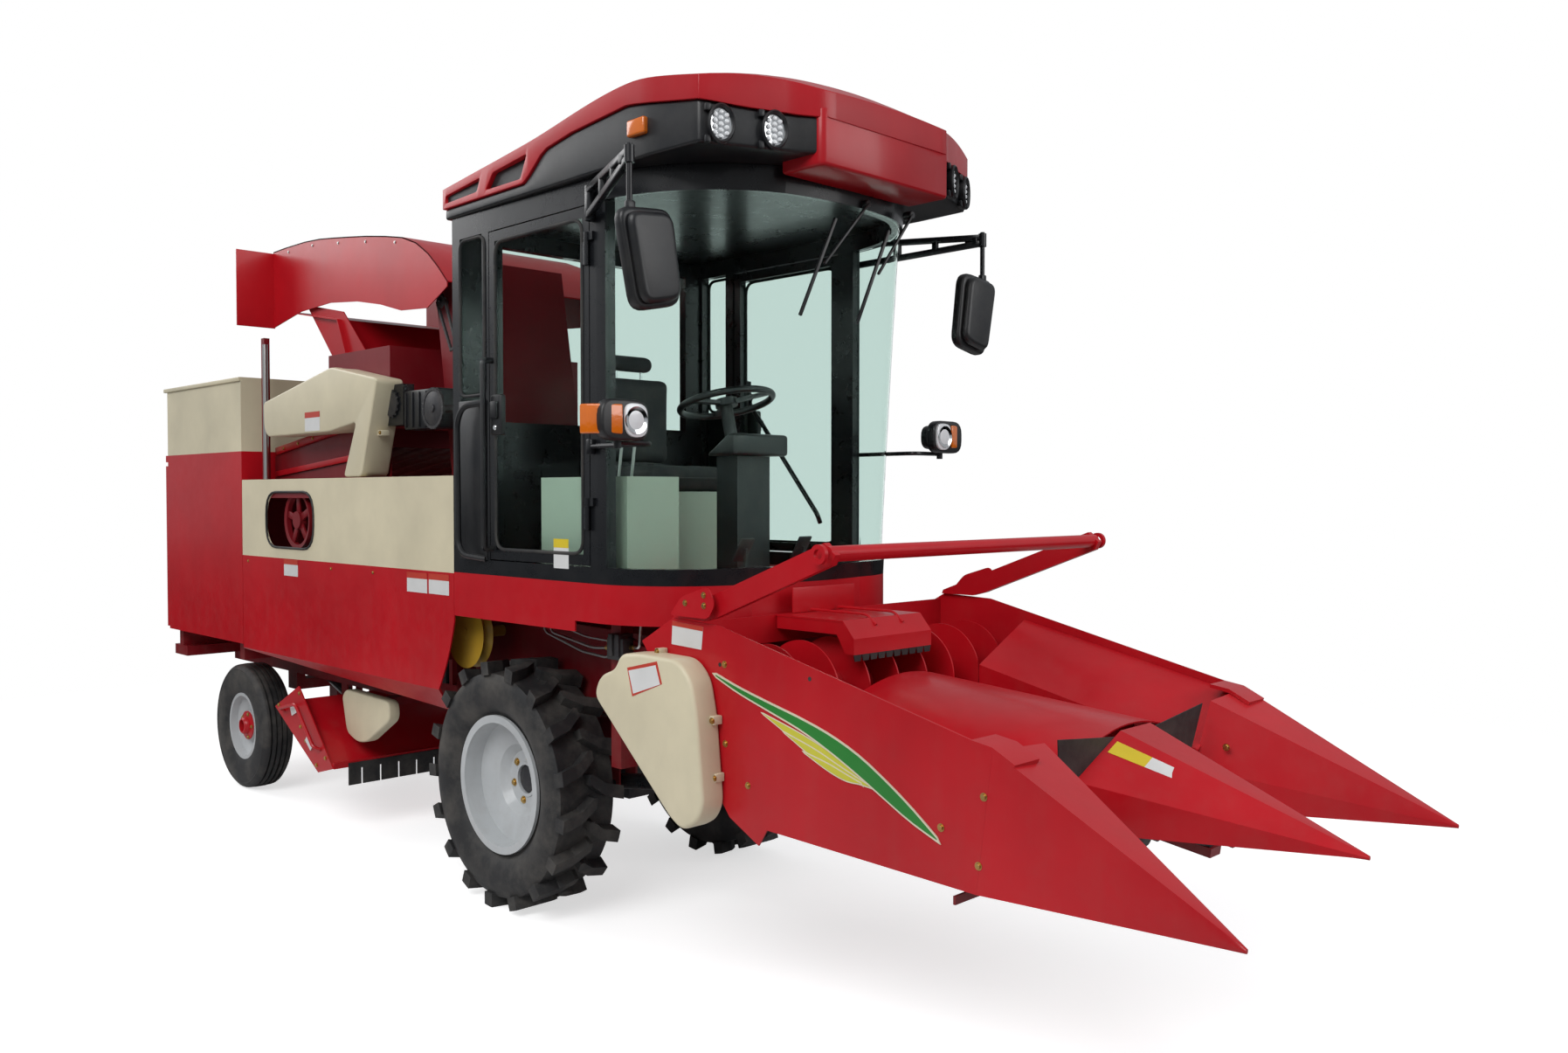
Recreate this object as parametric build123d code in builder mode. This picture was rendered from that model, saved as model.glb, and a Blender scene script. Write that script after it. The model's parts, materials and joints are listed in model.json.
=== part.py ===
"""Two-row self-propelled maize harvester.

Frame: X forward, Y to the machine's left, Z up, millimetres; the origin lies on the ground
under the middle of the machine. It stands on its tyres with the header raised for the road.
"""
from build123d import *
import math
import os

os.makedirs("parts", exist_ok=True)

# ---------------------------------------------------------------- driving dimensions
sheet = 6.0                     # folded sheet metal
seat_gap = 0.3                  # seating clearance between pieces
pin_fit = 0.05                  # radial clearance of a pin in its bore

front_axle_x = 300.0
wheelbase = 2810.0
front_tyre_radius = 502.5
front_tyre_width = 284.0
front_wheel_y = 567.0           # middle of the wheel
front_seat_radius = 258.0       # where tyre sits on rim
lug_height = 42.0
lugs_a_side = 17
rear_tyre_radius = 357.0
rear_tyre_width = 180.0
rear_wheel_y = 531.0
rear_seat_radius = 176.0
kingpin_y = 400.0

half_width = 700.0              # outer face of body panels and cab
rail_y = 270.0
rail_width = 60.0
rail_bottom_z = 640.0
rail_height = 120.0

tail_x = -3450.0                # rearmost edge of the chassis tail
bin_rear_x = -3390.0
bin_front_x = -2225.0
bin_floor_z = 863.0
bin_split_z = 1926.0            # red bin below, beige extension above
bin_top_z = 2334.0
bin_wall = 20.0
bin_pivot_x = -3420.0
bin_pivot_z = 810.0
gate_thickness = 36.0
gate_hinge_z = bin_split_z - 24.0

panel_front_x = -2.0
fold_z = 845.0                  # where the side panel turns inwards
belt_z = 1355.0                 # red side panel below, beige above
deck_z = 1700.0
panel_top_z = 1768.0
bulkhead_x = -700.0

cab_floor_z = 1360.0
cab_top_z = 2840.0
cab_rear_x = 0.0
pillar_x = 1000.0               # where straight sides end and the windscreen begins
screen_low_x = 1400.0           # front of the cab at the sill
screen_lean = 180.0             # how much further forward the top is
screen_bow = 40.0               # bulge of the windscreen between its corners
corner_y = 300.0                # where the corner curves end
cab_wall = 45.0
glass = 6.0
sill_height = 60.0
door_rear_x = 280.0
door_front_x = 960.0
door_wall = 38.0

feeder_y = -160.0               # middle of elevator and feeder throat
feeder_width = 460.0

header_half = 750.0
hinge_x = 1130.0                # header's lift hinge
hinge_z = 1050.0
joint_low = (2720.0, 625.0)     # x, z of the line where the snouts begin
joint_high = (2770.0, 1020.0)
tip_x = 3450.0
row_y = 385.0                   # middle of each row gap
auger_x = 1670.0
auger_z = 1000.0
auger_radius = 180.0

# ---------------------------------------------------------------- values worked out
rear_axle_x = front_axle_x - wheelbase
rail_top_z = rail_bottom_z + rail_height
panel_y = half_width - sheet
feeder_right = feeder_y - feeder_width / 2
feeder_left = feeder_y + feeder_width / 2
beam_y = 500.0
beam_width = 60.0
beam_low_z = 1250.0
beam_front_x = 1240.0
cab_base_z = cab_floor_z - 30.0
pieces = {}


def block(x0, x1, y0, y1, z0, z1, mode=Mode.ADD):
    """Add a box that reaches from one corner to the other."""
    with Locations(((x0 + x1) / 2, (y0 + y1) / 2, (z0 + z1) / 2)):
        Box(abs(x1 - x0), abs(y1 - y0), abs(z1 - z0), mode=mode)


def side_plane(y):
    """Plane at this y whose sketch shows x forward and z up; extrusion goes to the right."""
    return Plane.XZ.offset(-y)


def crossbar(x, z, radius, y0, y1, mode=Mode.ADD):
    """Add a round bar along Y."""
    with Locations(Location((x, (y0 + y1) / 2, z), (90, 0, 0))):
        Cylinder(radius, abs(y1 - y0), mode=mode)


# ---------------------------------------------------------------- wheels
# Each wheel is drawn once in its own frame, axis along Z and outer face up.
lug_root = front_tyre_radius - lug_height
half_tread = front_tyre_width / 2
bead = 96.0

with BuildPart() as lug:
    with BuildSketch(Plane.YZ.offset(lug_root - 14)):
        with BuildLine():
            Polyline(
                (-62, half_tread + 2),
                (-8, half_tread + 2),
                (14, 58),
                (56, 2),
                (56, -14),
                (18, -14),
                (-34, 54),
                close=True,
            )
        make_face()
    extrude(amount=lug_height + 22)
    with BuildSketch():
        Circle(front_tyre_radius)
    extrude(amount=front_tyre_width / 2, both=True, mode=Mode.INTERSECT)

with BuildPart() as front_tyre:
    with BuildSketch(Plane.XZ):
        with BuildLine():
            Polyline(
                (lug_root - 6, half_tread - 16),
                (lug_root, 0),
                (lug_root - 6, 16 - half_tread),
            )
            ThreePointArc(
                (lug_root - 6, 16 - half_tread),
                ((lug_root + front_seat_radius) / 2 + 8, -half_tread),
                (front_seat_radius + 32, -bead - 3),
            )
            Polyline(
                (front_seat_radius + 32, -bead - 3),
                (front_seat_radius + seat_gap, -bead),
                (front_seat_radius + seat_gap, bead),
                (front_seat_radius + 32, bead + 3),
            )
            ThreePointArc(
                (front_seat_radius + 32, bead + 3),
                ((lug_root + front_seat_radius) / 2 + 8, half_tread),
                (lug_root - 6, half_tread - 16),
            )
        make_face()
    revolve(axis=Axis.Z)
    with PolarLocations(0, lugs_a_side):
        add(lug.part)
    with PolarLocations(0, lugs_a_side, start_angle=180 / lugs_a_side):
        add(mirror(lug.part, about=Plane.XY, mode=Mode.PRIVATE))

# rim half-sections: (radius, height towards the outer face) round the metal
front_rim_outline = [
    (front_seat_radius, -118), (283, -118), (283, -104), (front_seat_radius, -104),
    (front_seat_radius, 104), (283, 104), (283, 118), (252, 118), (246, 40),
    (150, 10), (120, -24), (60, -24), (60, -36), (126, -36), (160, -4), (246, 22),
    (252, -118),
]


def rim(outline):
    """Turn a wheel rim from its half-section."""
    with BuildPart() as turned:
        with BuildSketch(Plane.XZ):
            with BuildLine():
                Polyline(*outline, close=True)
            make_face()
        revolve(axis=Axis.Z)
    return turned.part



rear_rim_outline = [
    (rear_seat_radius, -66), (190, -66), (190, -56), (rear_seat_radius, -56),
    (rear_seat_radius, 56), (190, 56), (190, 66), (172, 66), (168, 26),
    (110, 6), (84, 6), (84, 34), (32, 34), (32, -40), (60, -40), (60, -6),
    (116, -6), (168, 12), (172, -66),
]

with BuildPart() as rear_tyre:
    rear_bead = 50.0
    rear_half = rear_tyre_width / 2
    with BuildSketch(Plane.XZ):
        with BuildLine():
            ThreePointArc(
                (rear_tyre_radius - 14, rear_half - 14),
                (rear_tyre_radius, 0),
                (rear_tyre_radius - 14, 14 - rear_half),
            )
            ThreePointArc(
                (rear_tyre_radius - 14, 14 - rear_half),
                ((rear_tyre_radius + rear_seat_radius) / 2 + 6, -rear_half),
                (rear_seat_radius + 20, -rear_bead - 3),
            )
            Polyline(
                (rear_seat_radius + 20, -rear_bead - 3),
                (rear_seat_radius + seat_gap, -rear_bead),
                (rear_seat_radius + seat_gap, rear_bead),
                (rear_seat_radius + 20, rear_bead + 3),
            )
            ThreePointArc(
                (rear_seat_radius + 20, rear_bead + 3),
                ((rear_tyre_radius + rear_seat_radius) / 2 + 6, rear_half),
                (rear_tyre_radius - 14, rear_half - 14),
            )
        make_face()
    revolve(axis=Axis.Z)


def wheel_place(x, y, radius):
    """Where a wheel stands: axis along Y, outer face away from the middle, a lug at the ground."""
    side = 1 if y > 0 else -1
    return Plane(origin=(x, y, radius), x_dir=(0, 0, -1), z_dir=(0, side, 0)).location


for side, hand in ((-1, "right"), (1, "left")):
    front_place = wheel_place(front_axle_x, side * front_wheel_y, front_tyre_radius)
    rear_place = wheel_place(rear_axle_x, side * rear_wheel_y, rear_tyre_radius)
    for name, shape, place in (
        ("front_tyre", front_tyre.part, front_place),
        ("front_rim", rim(front_rim_outline), front_place),
        ("rear_tyre", rear_tyre.part, rear_place),
        ("rear_rim", rim(rear_rim_outline), rear_place),
    ):
        with BuildPart() as placed:
            with Locations(place):
                add(shape)
        pieces[f"{name}_{hand}"] = placed

# ---------------------------------------------------------------- chassis and axles
post_x = (-270.0, 860.0)        # rear faces of the cab posts, behind and ahead of the tyres
post_depth = 60.0
pulley_x, pulley_z, pulley_radius = -110.0, 1080.0, 150.0
bin_lift_foot = (rear_axle_x + 410, 520.0)
bin_lift_head = (-3050.0, 830.0)
bin_lift_y = 130.0
header_lift_foot = (600.0, 500.0)
header_lift_head = (1600.0, 650.0)
header_lift_y = 270.0
eye_width = 60.0
eye_radius = 32.0
pin_radius = 14.0
hinge_pin_radius = 16.0
tow_radius = 13.0
ear_edges = (-48.0, 38.0)       # inner faces of a cylinder's two ears, from its middle
saddle_z = 540.0

with BuildPart() as chassis:
    for side in (-1, 1):
        y0 = side * (rail_y - rail_width / 2)
        y1 = side * (rail_y + rail_width / 2)
        block(tail_x + 80, post_x[1] + post_depth, y0, y1, rail_bottom_z, rail_top_z)
        # foot of the header's lift cylinder hangs from the rail
        for edge in ear_edges:
            block(header_lift_foot[0] - 34, header_lift_foot[0] + 34,
                  side * header_lift_y + edge, side * header_lift_y + edge + 10,
                  header_lift_foot[1] - 34, rail_bottom_z)
        block(header_lift_foot[0] - 34, header_lift_foot[0] + 34,
              side * (header_lift_y + ear_edges[0]), side * (header_lift_y - ear_edges[0]),
              rail_bottom_z - 16, rail_bottom_z)
        # foot of the bin's lift cylinder, on the cross-member ahead of the rear axle
        for edge in ear_edges:
            block(bin_lift_foot[0] - 34, bin_lift_foot[0] + 34,
                  side * bin_lift_y + edge, side * bin_lift_y + edge + 10,
                  bin_lift_foot[1] - 34, rail_bottom_z)
        # bin hinge lug at the tail
        block(tail_x, bin_pivot_x + 40, side * 420, side * 440, rail_bottom_z + 60,
              bin_pivot_z + 30)
    for x in post_x:
        block(x, x + post_depth, -rail_y, rail_y, rail_bottom_z, rail_top_z)
    for x in (bin_lift_foot[0] - 40, -1400):
        block(x, x + 80, -rail_y, rail_y, rail_bottom_z, rail_top_z)
    # saddle of the rear axle, under the bin's lift cylinders
    block(rear_axle_x - 60, rear_axle_x + 60, -rail_y - 30, rail_y + 30, saddle_z,
          saddle_z + 60)
    for side in (-1, 1):
        block(rear_axle_x - 60, rear_axle_x + 60, side * (rail_y - 20), side * (rail_y + 30),
              saddle_z, rail_bottom_z)
    # tail beam and the cross-members that the bin rests on
    block(tail_x + 40, tail_x + 240, -650, 650, rail_bottom_z + 60, rail_top_z)
    for x in (tail_x + 120, -2400):
        block(x, x + 60, -650, 650, rail_top_z, bin_floor_z - seat_gap)
    # tow tongue with its pin hole
    block(tail_x, tail_x + 41, -60, 60, rail_bottom_z + 60, rail_top_z)
    with Locations((tail_x + 40, 0, rail_top_z)):
        Cylinder(tow_radius, 200, mode=Mode.SUBTRACT)
    # outrigger of the lower belt guard
    block(-1010, -950, -500 + seat_gap, -rail_y, rail_bottom_z + 10, rail_bottom_z + 50)
    for side in (-1, 1):
        for edge in ear_edges:
            crossbar(header_lift_foot[0], header_lift_foot[1], pin_radius + pin_fit,
                     side * header_lift_y + edge - 1, side * header_lift_y + edge + 11,
                     mode=Mode.SUBTRACT)
            crossbar(bin_lift_foot[0], bin_lift_foot[1], pin_radius + pin_fit,
                     side * bin_lift_y + edge - 1, side * bin_lift_y + edge + 11,
                     mode=Mode.SUBTRACT)
        crossbar(bin_pivot_x, bin_pivot_z, pin_radius + pin_fit, side * 415, side * 445,
                 mode=Mode.SUBTRACT)
pieces["chassis"] = chassis

with BuildPart() as cab_subframe:
    for side in (-1, 1):
        b0 = side * (beam_y - beam_width / 2)
        b1 = side * (beam_y + beam_width / 2)
        for x in post_x:
            block(x, x + post_depth, side * (rail_y + rail_width / 2 + seat_gap), b1,
                  rail_bottom_z, rail_top_z)
            block(x, x + post_depth, b0, b1, rail_top_z, beam_low_z)
        block(post_x[0], beam_front_x, b0, b1, beam_low_z, cab_base_z - seat_gap)
        # header hinge lug on the front post
        with BuildSketch(side_plane(side * beam_y + 10)):
            with BuildLine():
                Polyline((post_x[1] + 30, hinge_z - 110), (hinge_x, hinge_z - 36),
                         (hinge_x + 36, hinge_z), (hinge_x, hinge_z + 36),
                         (post_x[1] + 30, hinge_z + 110), close=True)
            make_face()
        extrude(amount=20)
        crossbar(hinge_x, hinge_z, hinge_pin_radius + pin_fit, side * (beam_y - 20),
                 side * (beam_y + 20), mode=Mode.SUBTRACT)
pieces["cab_subframe"] = cab_subframe

with BuildPart() as engine_block:
    block(-1320, -760, -300, 300, rail_top_z, 1560)
pieces["engine_block"] = engine_block

with BuildPart() as front_axle:
    crossbar(front_axle_x, front_tyre_radius, 70, -430, 430)
    crossbar(front_axle_x, front_tyre_radius, 108, -430, -500)
    crossbar(front_axle_x, front_tyre_radius, 108, 430, 500)
    crossbar(front_axle_x, front_tyre_radius, 95, -(front_wheel_y - 36 - seat_gap), -500)
    crossbar(front_axle_x, front_tyre_radius, 95, 500, front_wheel_y - 36 - seat_gap)
    block(front_axle_x - 150, front_axle_x + 150, -120, 120, front_tyre_radius - 130,
          front_tyre_radius + 110)
    for side in (-1, 1):
        block(front_axle_x - 60, front_axle_x + 60, side * (rail_y - 30), side * (rail_y + 30),
              front_tyre_radius, rail_bottom_z)
pieces["front_axle"] = front_axle

yoke_low = rear_tyre_radius - 72
yoke_high = rear_tyre_radius + 72
arm_low_z = yoke_low - 42
with BuildPart() as rear_axle:
    block(rear_axle_x - 45, rear_axle_x + 45, -(kingpin_y - 55), kingpin_y - 55,
          rear_tyre_radius - 45, rear_tyre_radius + 45)
    for side in (-1, 1):
        block(rear_axle_x - 40, rear_axle_x + 40, side * (kingpin_y - 75),
              side * (kingpin_y - 45), yoke_low - 20, yoke_high + 20)
        for z in (yoke_low - 20, yoke_high):
            block(rear_axle_x - 40, rear_axle_x + 40, side * (kingpin_y - 75),
                  side * (kingpin_y + 32), z, z + 20)
        with Locations((rear_axle_x, side * kingpin_y, rear_tyre_radius)):
            Cylinder(18 + seat_gap, 400, mode=Mode.SUBTRACT)
    block(rear_axle_x - 50, rear_axle_x + 50, -50, 50, rear_tyre_radius, saddle_z)
pieces["rear_axle"] = rear_axle

for side, hand in ((-1, "right"), (1, "left")):
    with BuildPart() as knuckle:
        with Locations((rear_axle_x, side * kingpin_y, arm_low_z)):
            Cylinder(18, yoke_high + 32 - arm_low_z,
                     align=(Align.CENTER, Align.CENTER, Align.MIN))
        block(rear_axle_x - 32, rear_axle_x + 32, side * (kingpin_y - 32),
              side * (kingpin_y + 30), yoke_low + seat_gap, yoke_high - seat_gap)
        crossbar(rear_axle_x, rear_tyre_radius, 32 - seat_gap, side * kingpin_y,
                 side * (rear_wheel_y + 34))
        # steering arm on the kingpin's foot, clear below the yoke
        with BuildSketch(Plane.XY.offset(arm_low_z)):
            with Locations((rear_axle_x - 60, side * kingpin_y)):
                SlotOverall(160, 44)
            with Locations((rear_axle_x - 118, side * kingpin_y)):
                Circle(9, mode=Mode.SUBTRACT)
        extrude(amount=16)
    pieces[f"knuckle_{hand}"] = knuckle

# ---------------------------------------------------------------- side panels and body
window_low_z, window_high_z = 1411.0, 1701.0
window_rear_x, window_front_x = -1905.0, -1337.0
arch_top = (0.0, 1160.0)
arch_foot = (-186.0, 770.0)


with BuildPart() as side_panels_lower:
    # the sheet is upright, then folded inwards; the fold deepens from the bin to the wheel arch
    for x, drop in ((bin_front_x, 6.0), (panel_front_x, 120.0)):
        with BuildSketch(Plane.YZ.offset(x)):
            with BuildLine():
                Polyline(
                    (-half_width, belt_z),
                    (-half_width, fold_z),
                    (-half_width + drop * 0.9, fold_z - drop),
                    (-half_width + drop * 0.9 + sheet, fold_z - drop + sheet),
                    (-panel_y, fold_z + sheet),
                    (-panel_y, belt_z),
                    close=True,
                )
            make_face()
    loft()
    with BuildSketch(side_plane(-half_width - 10)):
        with BuildLine():
            ThreePointArc(arch_top, (-70, 960), arch_foot)
            Polyline(arch_foot, (-186, 600), (200, 600), (200, arch_top[1]), arch_top)
        make_face()
    extrude(amount=-300, mode=Mode.SUBTRACT)
    mirror(about=Plane.XZ)
pieces["side_panels_lower"] = side_panels_lower

with BuildPart() as side_panels_upper:
    block(bin_front_x, panel_front_x, -half_width, -panel_y, belt_z, panel_top_z)
    block(bin_front_x, panel_front_x, -half_width, -half_width + 34, panel_top_z - sheet,
          panel_top_z)
    with BuildSketch(side_plane(-half_width - 10)):
        with Locations(((window_rear_x + window_front_x) / 2,
                        (window_low_z + window_high_z) / 2)):
            RectangleRounded(window_front_x - window_rear_x, window_high_z - window_low_z, 120)
    extrude(amount=-40, mode=Mode.SUBTRACT)
    mirror(about=Plane.XZ)
pieces["side_panels_upper"] = side_panels_upper

with BuildPart() as body_deck:
    block(bin_front_x + 10, bulkhead_x, -panel_y, panel_y, deck_z - 30, deck_z)
    block(bulkhead_x - 30, bulkhead_x, -panel_y, panel_y, fold_z + 40, deck_z)
    block(bin_front_x + 10, bin_front_x + 40, -panel_y, panel_y, fold_z + 40, deck_z)
    for x in (bulkhead_x - 30, bin_front_x + 10):
        for side in (-1, 1):
            block(x, x + 30, side * (rail_y - 30), side * (rail_y + 30), rail_top_z, fold_z + 60)
pieces["body_deck"] = body_deck


def pin_heads(place, y):
    """Heads of the pin outside a cylinder's two ears."""
    for inner, step in zip((ear_edges[0], ear_edges[1] + 10), (-8, 8)):
        crossbar(place[0], place[1], 20, y + inner, y + inner + step)


# ---------------------------------------------------------------- cob bin, tips to the rear
with BuildPart() as cob_bin:
    block(bin_rear_x + gate_thickness, bin_front_x - 5, -half_width, half_width, bin_floor_z,
          bin_split_z)
    block(bin_rear_x, bin_front_x - 5 - bin_wall, -half_width + bin_wall, half_width - bin_wall,
          bin_floor_z + bin_wall, bin_split_z + 1, mode=Mode.SUBTRACT)
    for side in (-1, 1):
        # hinge lug and pin at the tail
        with BuildSketch(side_plane(side * 410 + 9.5)):
            with BuildLine():
                Polyline((bin_pivot_x - 24, bin_pivot_z - 24), (bin_pivot_x - 24, bin_pivot_z + 24),
                         (bin_rear_x + gate_thickness, bin_floor_z + 12),
                         (bin_rear_x + gate_thickness + 20, bin_floor_z + 12),
                         (bin_rear_x + gate_thickness + 20, bin_floor_z),
                         (bin_pivot_x + 24, bin_pivot_z - 24), close=True)
            make_face()
        extrude(amount=19)
        crossbar(bin_pivot_x, bin_pivot_z, pin_radius, side * 405, side * 444)
        for edge in ear_edges:
            block(bin_lift_head[0] - 34, bin_lift_head[0] + 34, side * bin_lift_y + edge,
                  side * bin_lift_y + edge + 10, bin_lift_head[1] - 34, bin_floor_z)
        # tailgate hinge ears at the top of the rear frame
        block(bin_rear_x, bin_rear_x + gate_thickness + 4, side * (half_width - 16),
              side * half_width, gate_hinge_z - 16, bin_split_z)
        crossbar(bin_rear_x + 16, gate_hinge_z, 10 + pin_fit, side * (half_width - 18),
                 side * (half_width + 2), mode=Mode.SUBTRACT)
        pin_heads(bin_lift_head, side * bin_lift_y)
pieces["cob_bin"] = cob_bin

with BuildPart() as bin_extension:
    block(bin_rear_x + gate_thickness, bin_front_x - 5, -half_width, half_width, bin_split_z,
          bin_top_z)
    block(bin_rear_x + gate_thickness + bin_wall, bin_front_x - 5 - bin_wall,
          -half_width + bin_wall, half_width - bin_wall, bin_split_z - 1, bin_top_z + 1,
          mode=Mode.SUBTRACT)
pieces["bin_extension"] = bin_extension

with BuildPart() as bin_tailgate:
    block(bin_rear_x, bin_rear_x + gate_thickness - seat_gap, -half_width, half_width,
          bin_floor_z + 14, gate_hinge_z - 40)
    block(bin_rear_x + 6, bin_rear_x + 26, -half_width + 60, half_width - 60,
          gate_hinge_z - 41, gate_hinge_z)
    crossbar(bin_rear_x + 16, gate_hinge_z, 10, -half_width + 2, half_width - 2)
pieces["bin_tailgate"] = bin_tailgate


def cylinder_axis(foot, head, y):
    """Plane at a cylinder's foot whose Z runs to the head."""
    run = Vector(head[0] - foot[0], 0, head[1] - foot[1])
    return Plane(origin=(foot[0], y, foot[1]), x_dir=(0, 1, 0), z_dir=run.normalized())


def lift_pair(foot, head, y, radius, barrel_length, piston_at):
    """Barrels and rods of a pair of lift cylinders between two pin places (x, z)."""
    rod_radius = radius * 0.5
    gland = 30
    length = math.dist(foot, head)
    with BuildPart() as barrels:
        for side in (-1, 1):
            crossbar(foot[0], foot[1], eye_radius - 4, side * y - eye_width / 2,
                     side * y + eye_width / 2)
            with Locations(cylinder_axis(foot, head, side * y).location):
                Cylinder(radius, barrel_length, align=(Align.CENTER, Align.CENTER, Align.MIN))
                with Locations((0, 0, 60)):
                    Cylinder(radius - 8, barrel_length - 60 - gland,
                             align=(Align.CENTER, Align.CENTER, Align.MIN), mode=Mode.SUBTRACT)
                    Cylinder(rod_radius + seat_gap, barrel_length,
                             align=(Align.CENTER, Align.CENTER, Align.MIN), mode=Mode.SUBTRACT)
            crossbar(foot[0], foot[1], pin_radius, side * y - 47, side * y + 47)
    with BuildPart() as rods:
        for side in (-1, 1):
            with Locations(cylinder_axis(foot, head, side * y).location):
                with Locations((0, 0, piston_at)):
                    Cylinder(rod_radius, length - piston_at,
                             align=(Align.CENTER, Align.CENTER, Align.MIN))
                    Cylinder(radius - 8 - seat_gap, 30,
                             align=(Align.CENTER, Align.CENTER, Align.MIN))
            crossbar(head[0], head[1], eye_radius - 4, side * y - eye_width / 2,
                     side * y + eye_width / 2)
            crossbar(head[0], head[1], pin_radius, side * y - eye_width, side * y + eye_width,
                     mode=Mode.SUBTRACT)
    return barrels, rods


pieces["bin_lift_barrels"], pieces["bin_lift_rods"] = lift_pair(
    bin_lift_foot, bin_lift_head, bin_lift_y, 32.0, 620.0, 80.0)
pieces["header_lift_barrels"], pieces["header_lift_rods"] = lift_pair(
    header_lift_foot, header_lift_head, header_lift_y, 32.0, 640.0, 190.0)

# ---------------------------------------------------------------- elevator, husker, hood
elevator_outline = [
    (1300, 800), (1300, 1130), (-20, 1160), (-300, 2750), (-690, 2750), (-430, 1100), (-300, 800),
]

with BuildPart() as elevator:
    with BuildSketch(side_plane(feeder_left)):
        with BuildLine():
            Polyline(*elevator_outline, close=True)
        make_face()
    extrude(amount=feeder_width)
    with BuildSketch(side_plane(feeder_left - sheet)):
        with BuildLine():
            Polyline((1301, 806), (1301, 1124), (-25, 1154), (-306, 2744), (-600, 2744),
                     (-600, 2751), (-760, 2751), (-760, 2480), (-643, 2480), (-424, 1097),
                     (-296, 806), close=True)
        make_face()
    extrude(amount=feeder_width - 2 * sheet, mode=Mode.SUBTRACT)
    # feet on the chassis cross-members
    for x in post_x:
        block(x + 6, x + post_depth - 6, feeder_right + 10, feeder_left - 10,
              rail_top_z + seat_gap, 801)
pieces["elevator"] = elevator

hood_rear_x = -2300.0
hood_right = -480.0
hood_low = [(-700, 2756), (-850, 2500), (-1350, 2640), (-1900, 2735), (hood_rear_x, 2630)]

with BuildPart() as blower_hood:
    for drop, side_wall, mode in ((0, 0, Mode.ADD), (sheet, sheet, Mode.SUBTRACT)):
        low = [(x, z - 60 * (drop > 0)) for x, z in hood_low[1:]]
        with BuildSketch(side_plane(feeder_left - side_wall)):
            with BuildLine():
                Polyline((hood_rear_x - drop, 3035 - drop), (-1400, 3035 - drop))
                ThreePointArc((-1400, 3035 - drop), (-990, 2930 - drop), (-700 - drop, 2756))
                Polyline((-700 - drop, 2756), *low, (hood_rear_x - drop, 3035 - drop))
            make_face()
        extrude(amount=feeder_left - hood_right - 2 * side_wall, mode=mode)
    block(hood_rear_x, hood_rear_x + sheet, -half_width, hood_right + sheet, 2620, 3035)
    with BuildSketch(side_plane(feeder_left)):
        with BuildLine():
            Polyline((-2240, 2716), (-1530, 2596), (-1430, 2400), (-1424, 2400), (-1524, 2602),
                     (-2240, 2722), close=True)
        make_face()
    extrude(amount=feeder_left - hood_right)
    # collar that seats on the elevator's head
    block(-720, -690 - seat_gap, feeder_right, feeder_left, 2700, 2760)
pieces["blower_hood"] = blower_hood

husk_y = 546.0
roll_radius = 36.0
roll_pitch = 128.0
roll_count = 8
roll_length = 1160.0
husk_slope = math.radians(8.0)
husk_plane = Plane(origin=(-2120, 0, 1800), x_dir=(math.cos(husk_slope), 0, math.sin(husk_slope)),
                   z_dir=(-math.sin(husk_slope), 0, math.cos(husk_slope)))
with BuildPart() as husker:
    for side in (-1, 1):
        with BuildSketch(side_plane(side * husk_y + 3)):
            with BuildLine():
                Polyline((-2140, deck_z), (-2140, 1900), (-1350, 2010), (-830, 2080),
                         (-830, deck_z), close=True)
            make_face()
        extrude(amount=sheet)
        block(-2120, -2080, side * 600, side * 630, deck_z, 2540)
    block(-1476, -1470, -husk_y + 3, husk_y - 3, 2000, 2400)
    block(-836, -830, -husk_y + 3, husk_y - 3, 2040, 2400)
    for side in (-1, 1):
        block(-1476, -830, side * (husk_y - 3), side * (husk_y + 3), 1990, 2400)
        block(-2120, -2080, side * (husk_y + 3), side * 600, deck_z, deck_z + 40)
        # bearing plates at both ends of the roll bed
        with BuildSketch(husk_plane.offset(0)):
            with Locations((20, 0), (20 + roll_length + 6.6, 0)):
                Rectangle(6, 2 * husk_y - 6)
        extrude(amount=46, both=True)
pieces["husker"] = husker

with BuildPart() as husker_rolls:
    for index in range(roll_count):
        y = (index - (roll_count - 1) / 2) * roll_pitch
        with Locations(husk_plane.location):
            with Locations(Location((23.3, y, 0), (0, 90, 0))):
                Cylinder(roll_radius, roll_length, align=(Align.CENTER, Align.CENTER, Align.MIN))
pieces["husker_rolls"] = husker_rolls

with BuildPart() as drive_housing:
    block(-830 + seat_gap, -600, -605, -549, 2010, 2200)
    block(-830 + seat_gap, -700, -549, -450, 2030, 2080)
pieces["drive_housing"] = drive_housing

with BuildPart() as belt_guards:
    with BuildSketch(side_plane(90 - half_width)):
        with BuildLine():
            Polyline((-1925, 2096), (-1158, 2309), (-555, 2206), (-686, 1772), (-983, 1775),
                     (-889, 2026), (-1883, 1988), close=True)
        make_face()
        fillet(vertices(), radius=30)
    extrude(amount=90)
    for x, z in ((-900, 1850), (-1158, 2200)):
        crossbar(x, z, 12, 89 - half_width, -husk_y - 3 - seat_gap)
    with BuildSketch(side_plane(-500)):
        with BuildLine():
            Polyline((-1340, 660), (-1290, 480), (-1180, 447), (-1080, 460), (-840, 600),
                     (-850, 690), (-1300, 700), close=True)
        make_face()
        fillet(vertices(), radius=24)
    extrude(amount=60)
pieces["belt_guards"] = belt_guards

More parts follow.
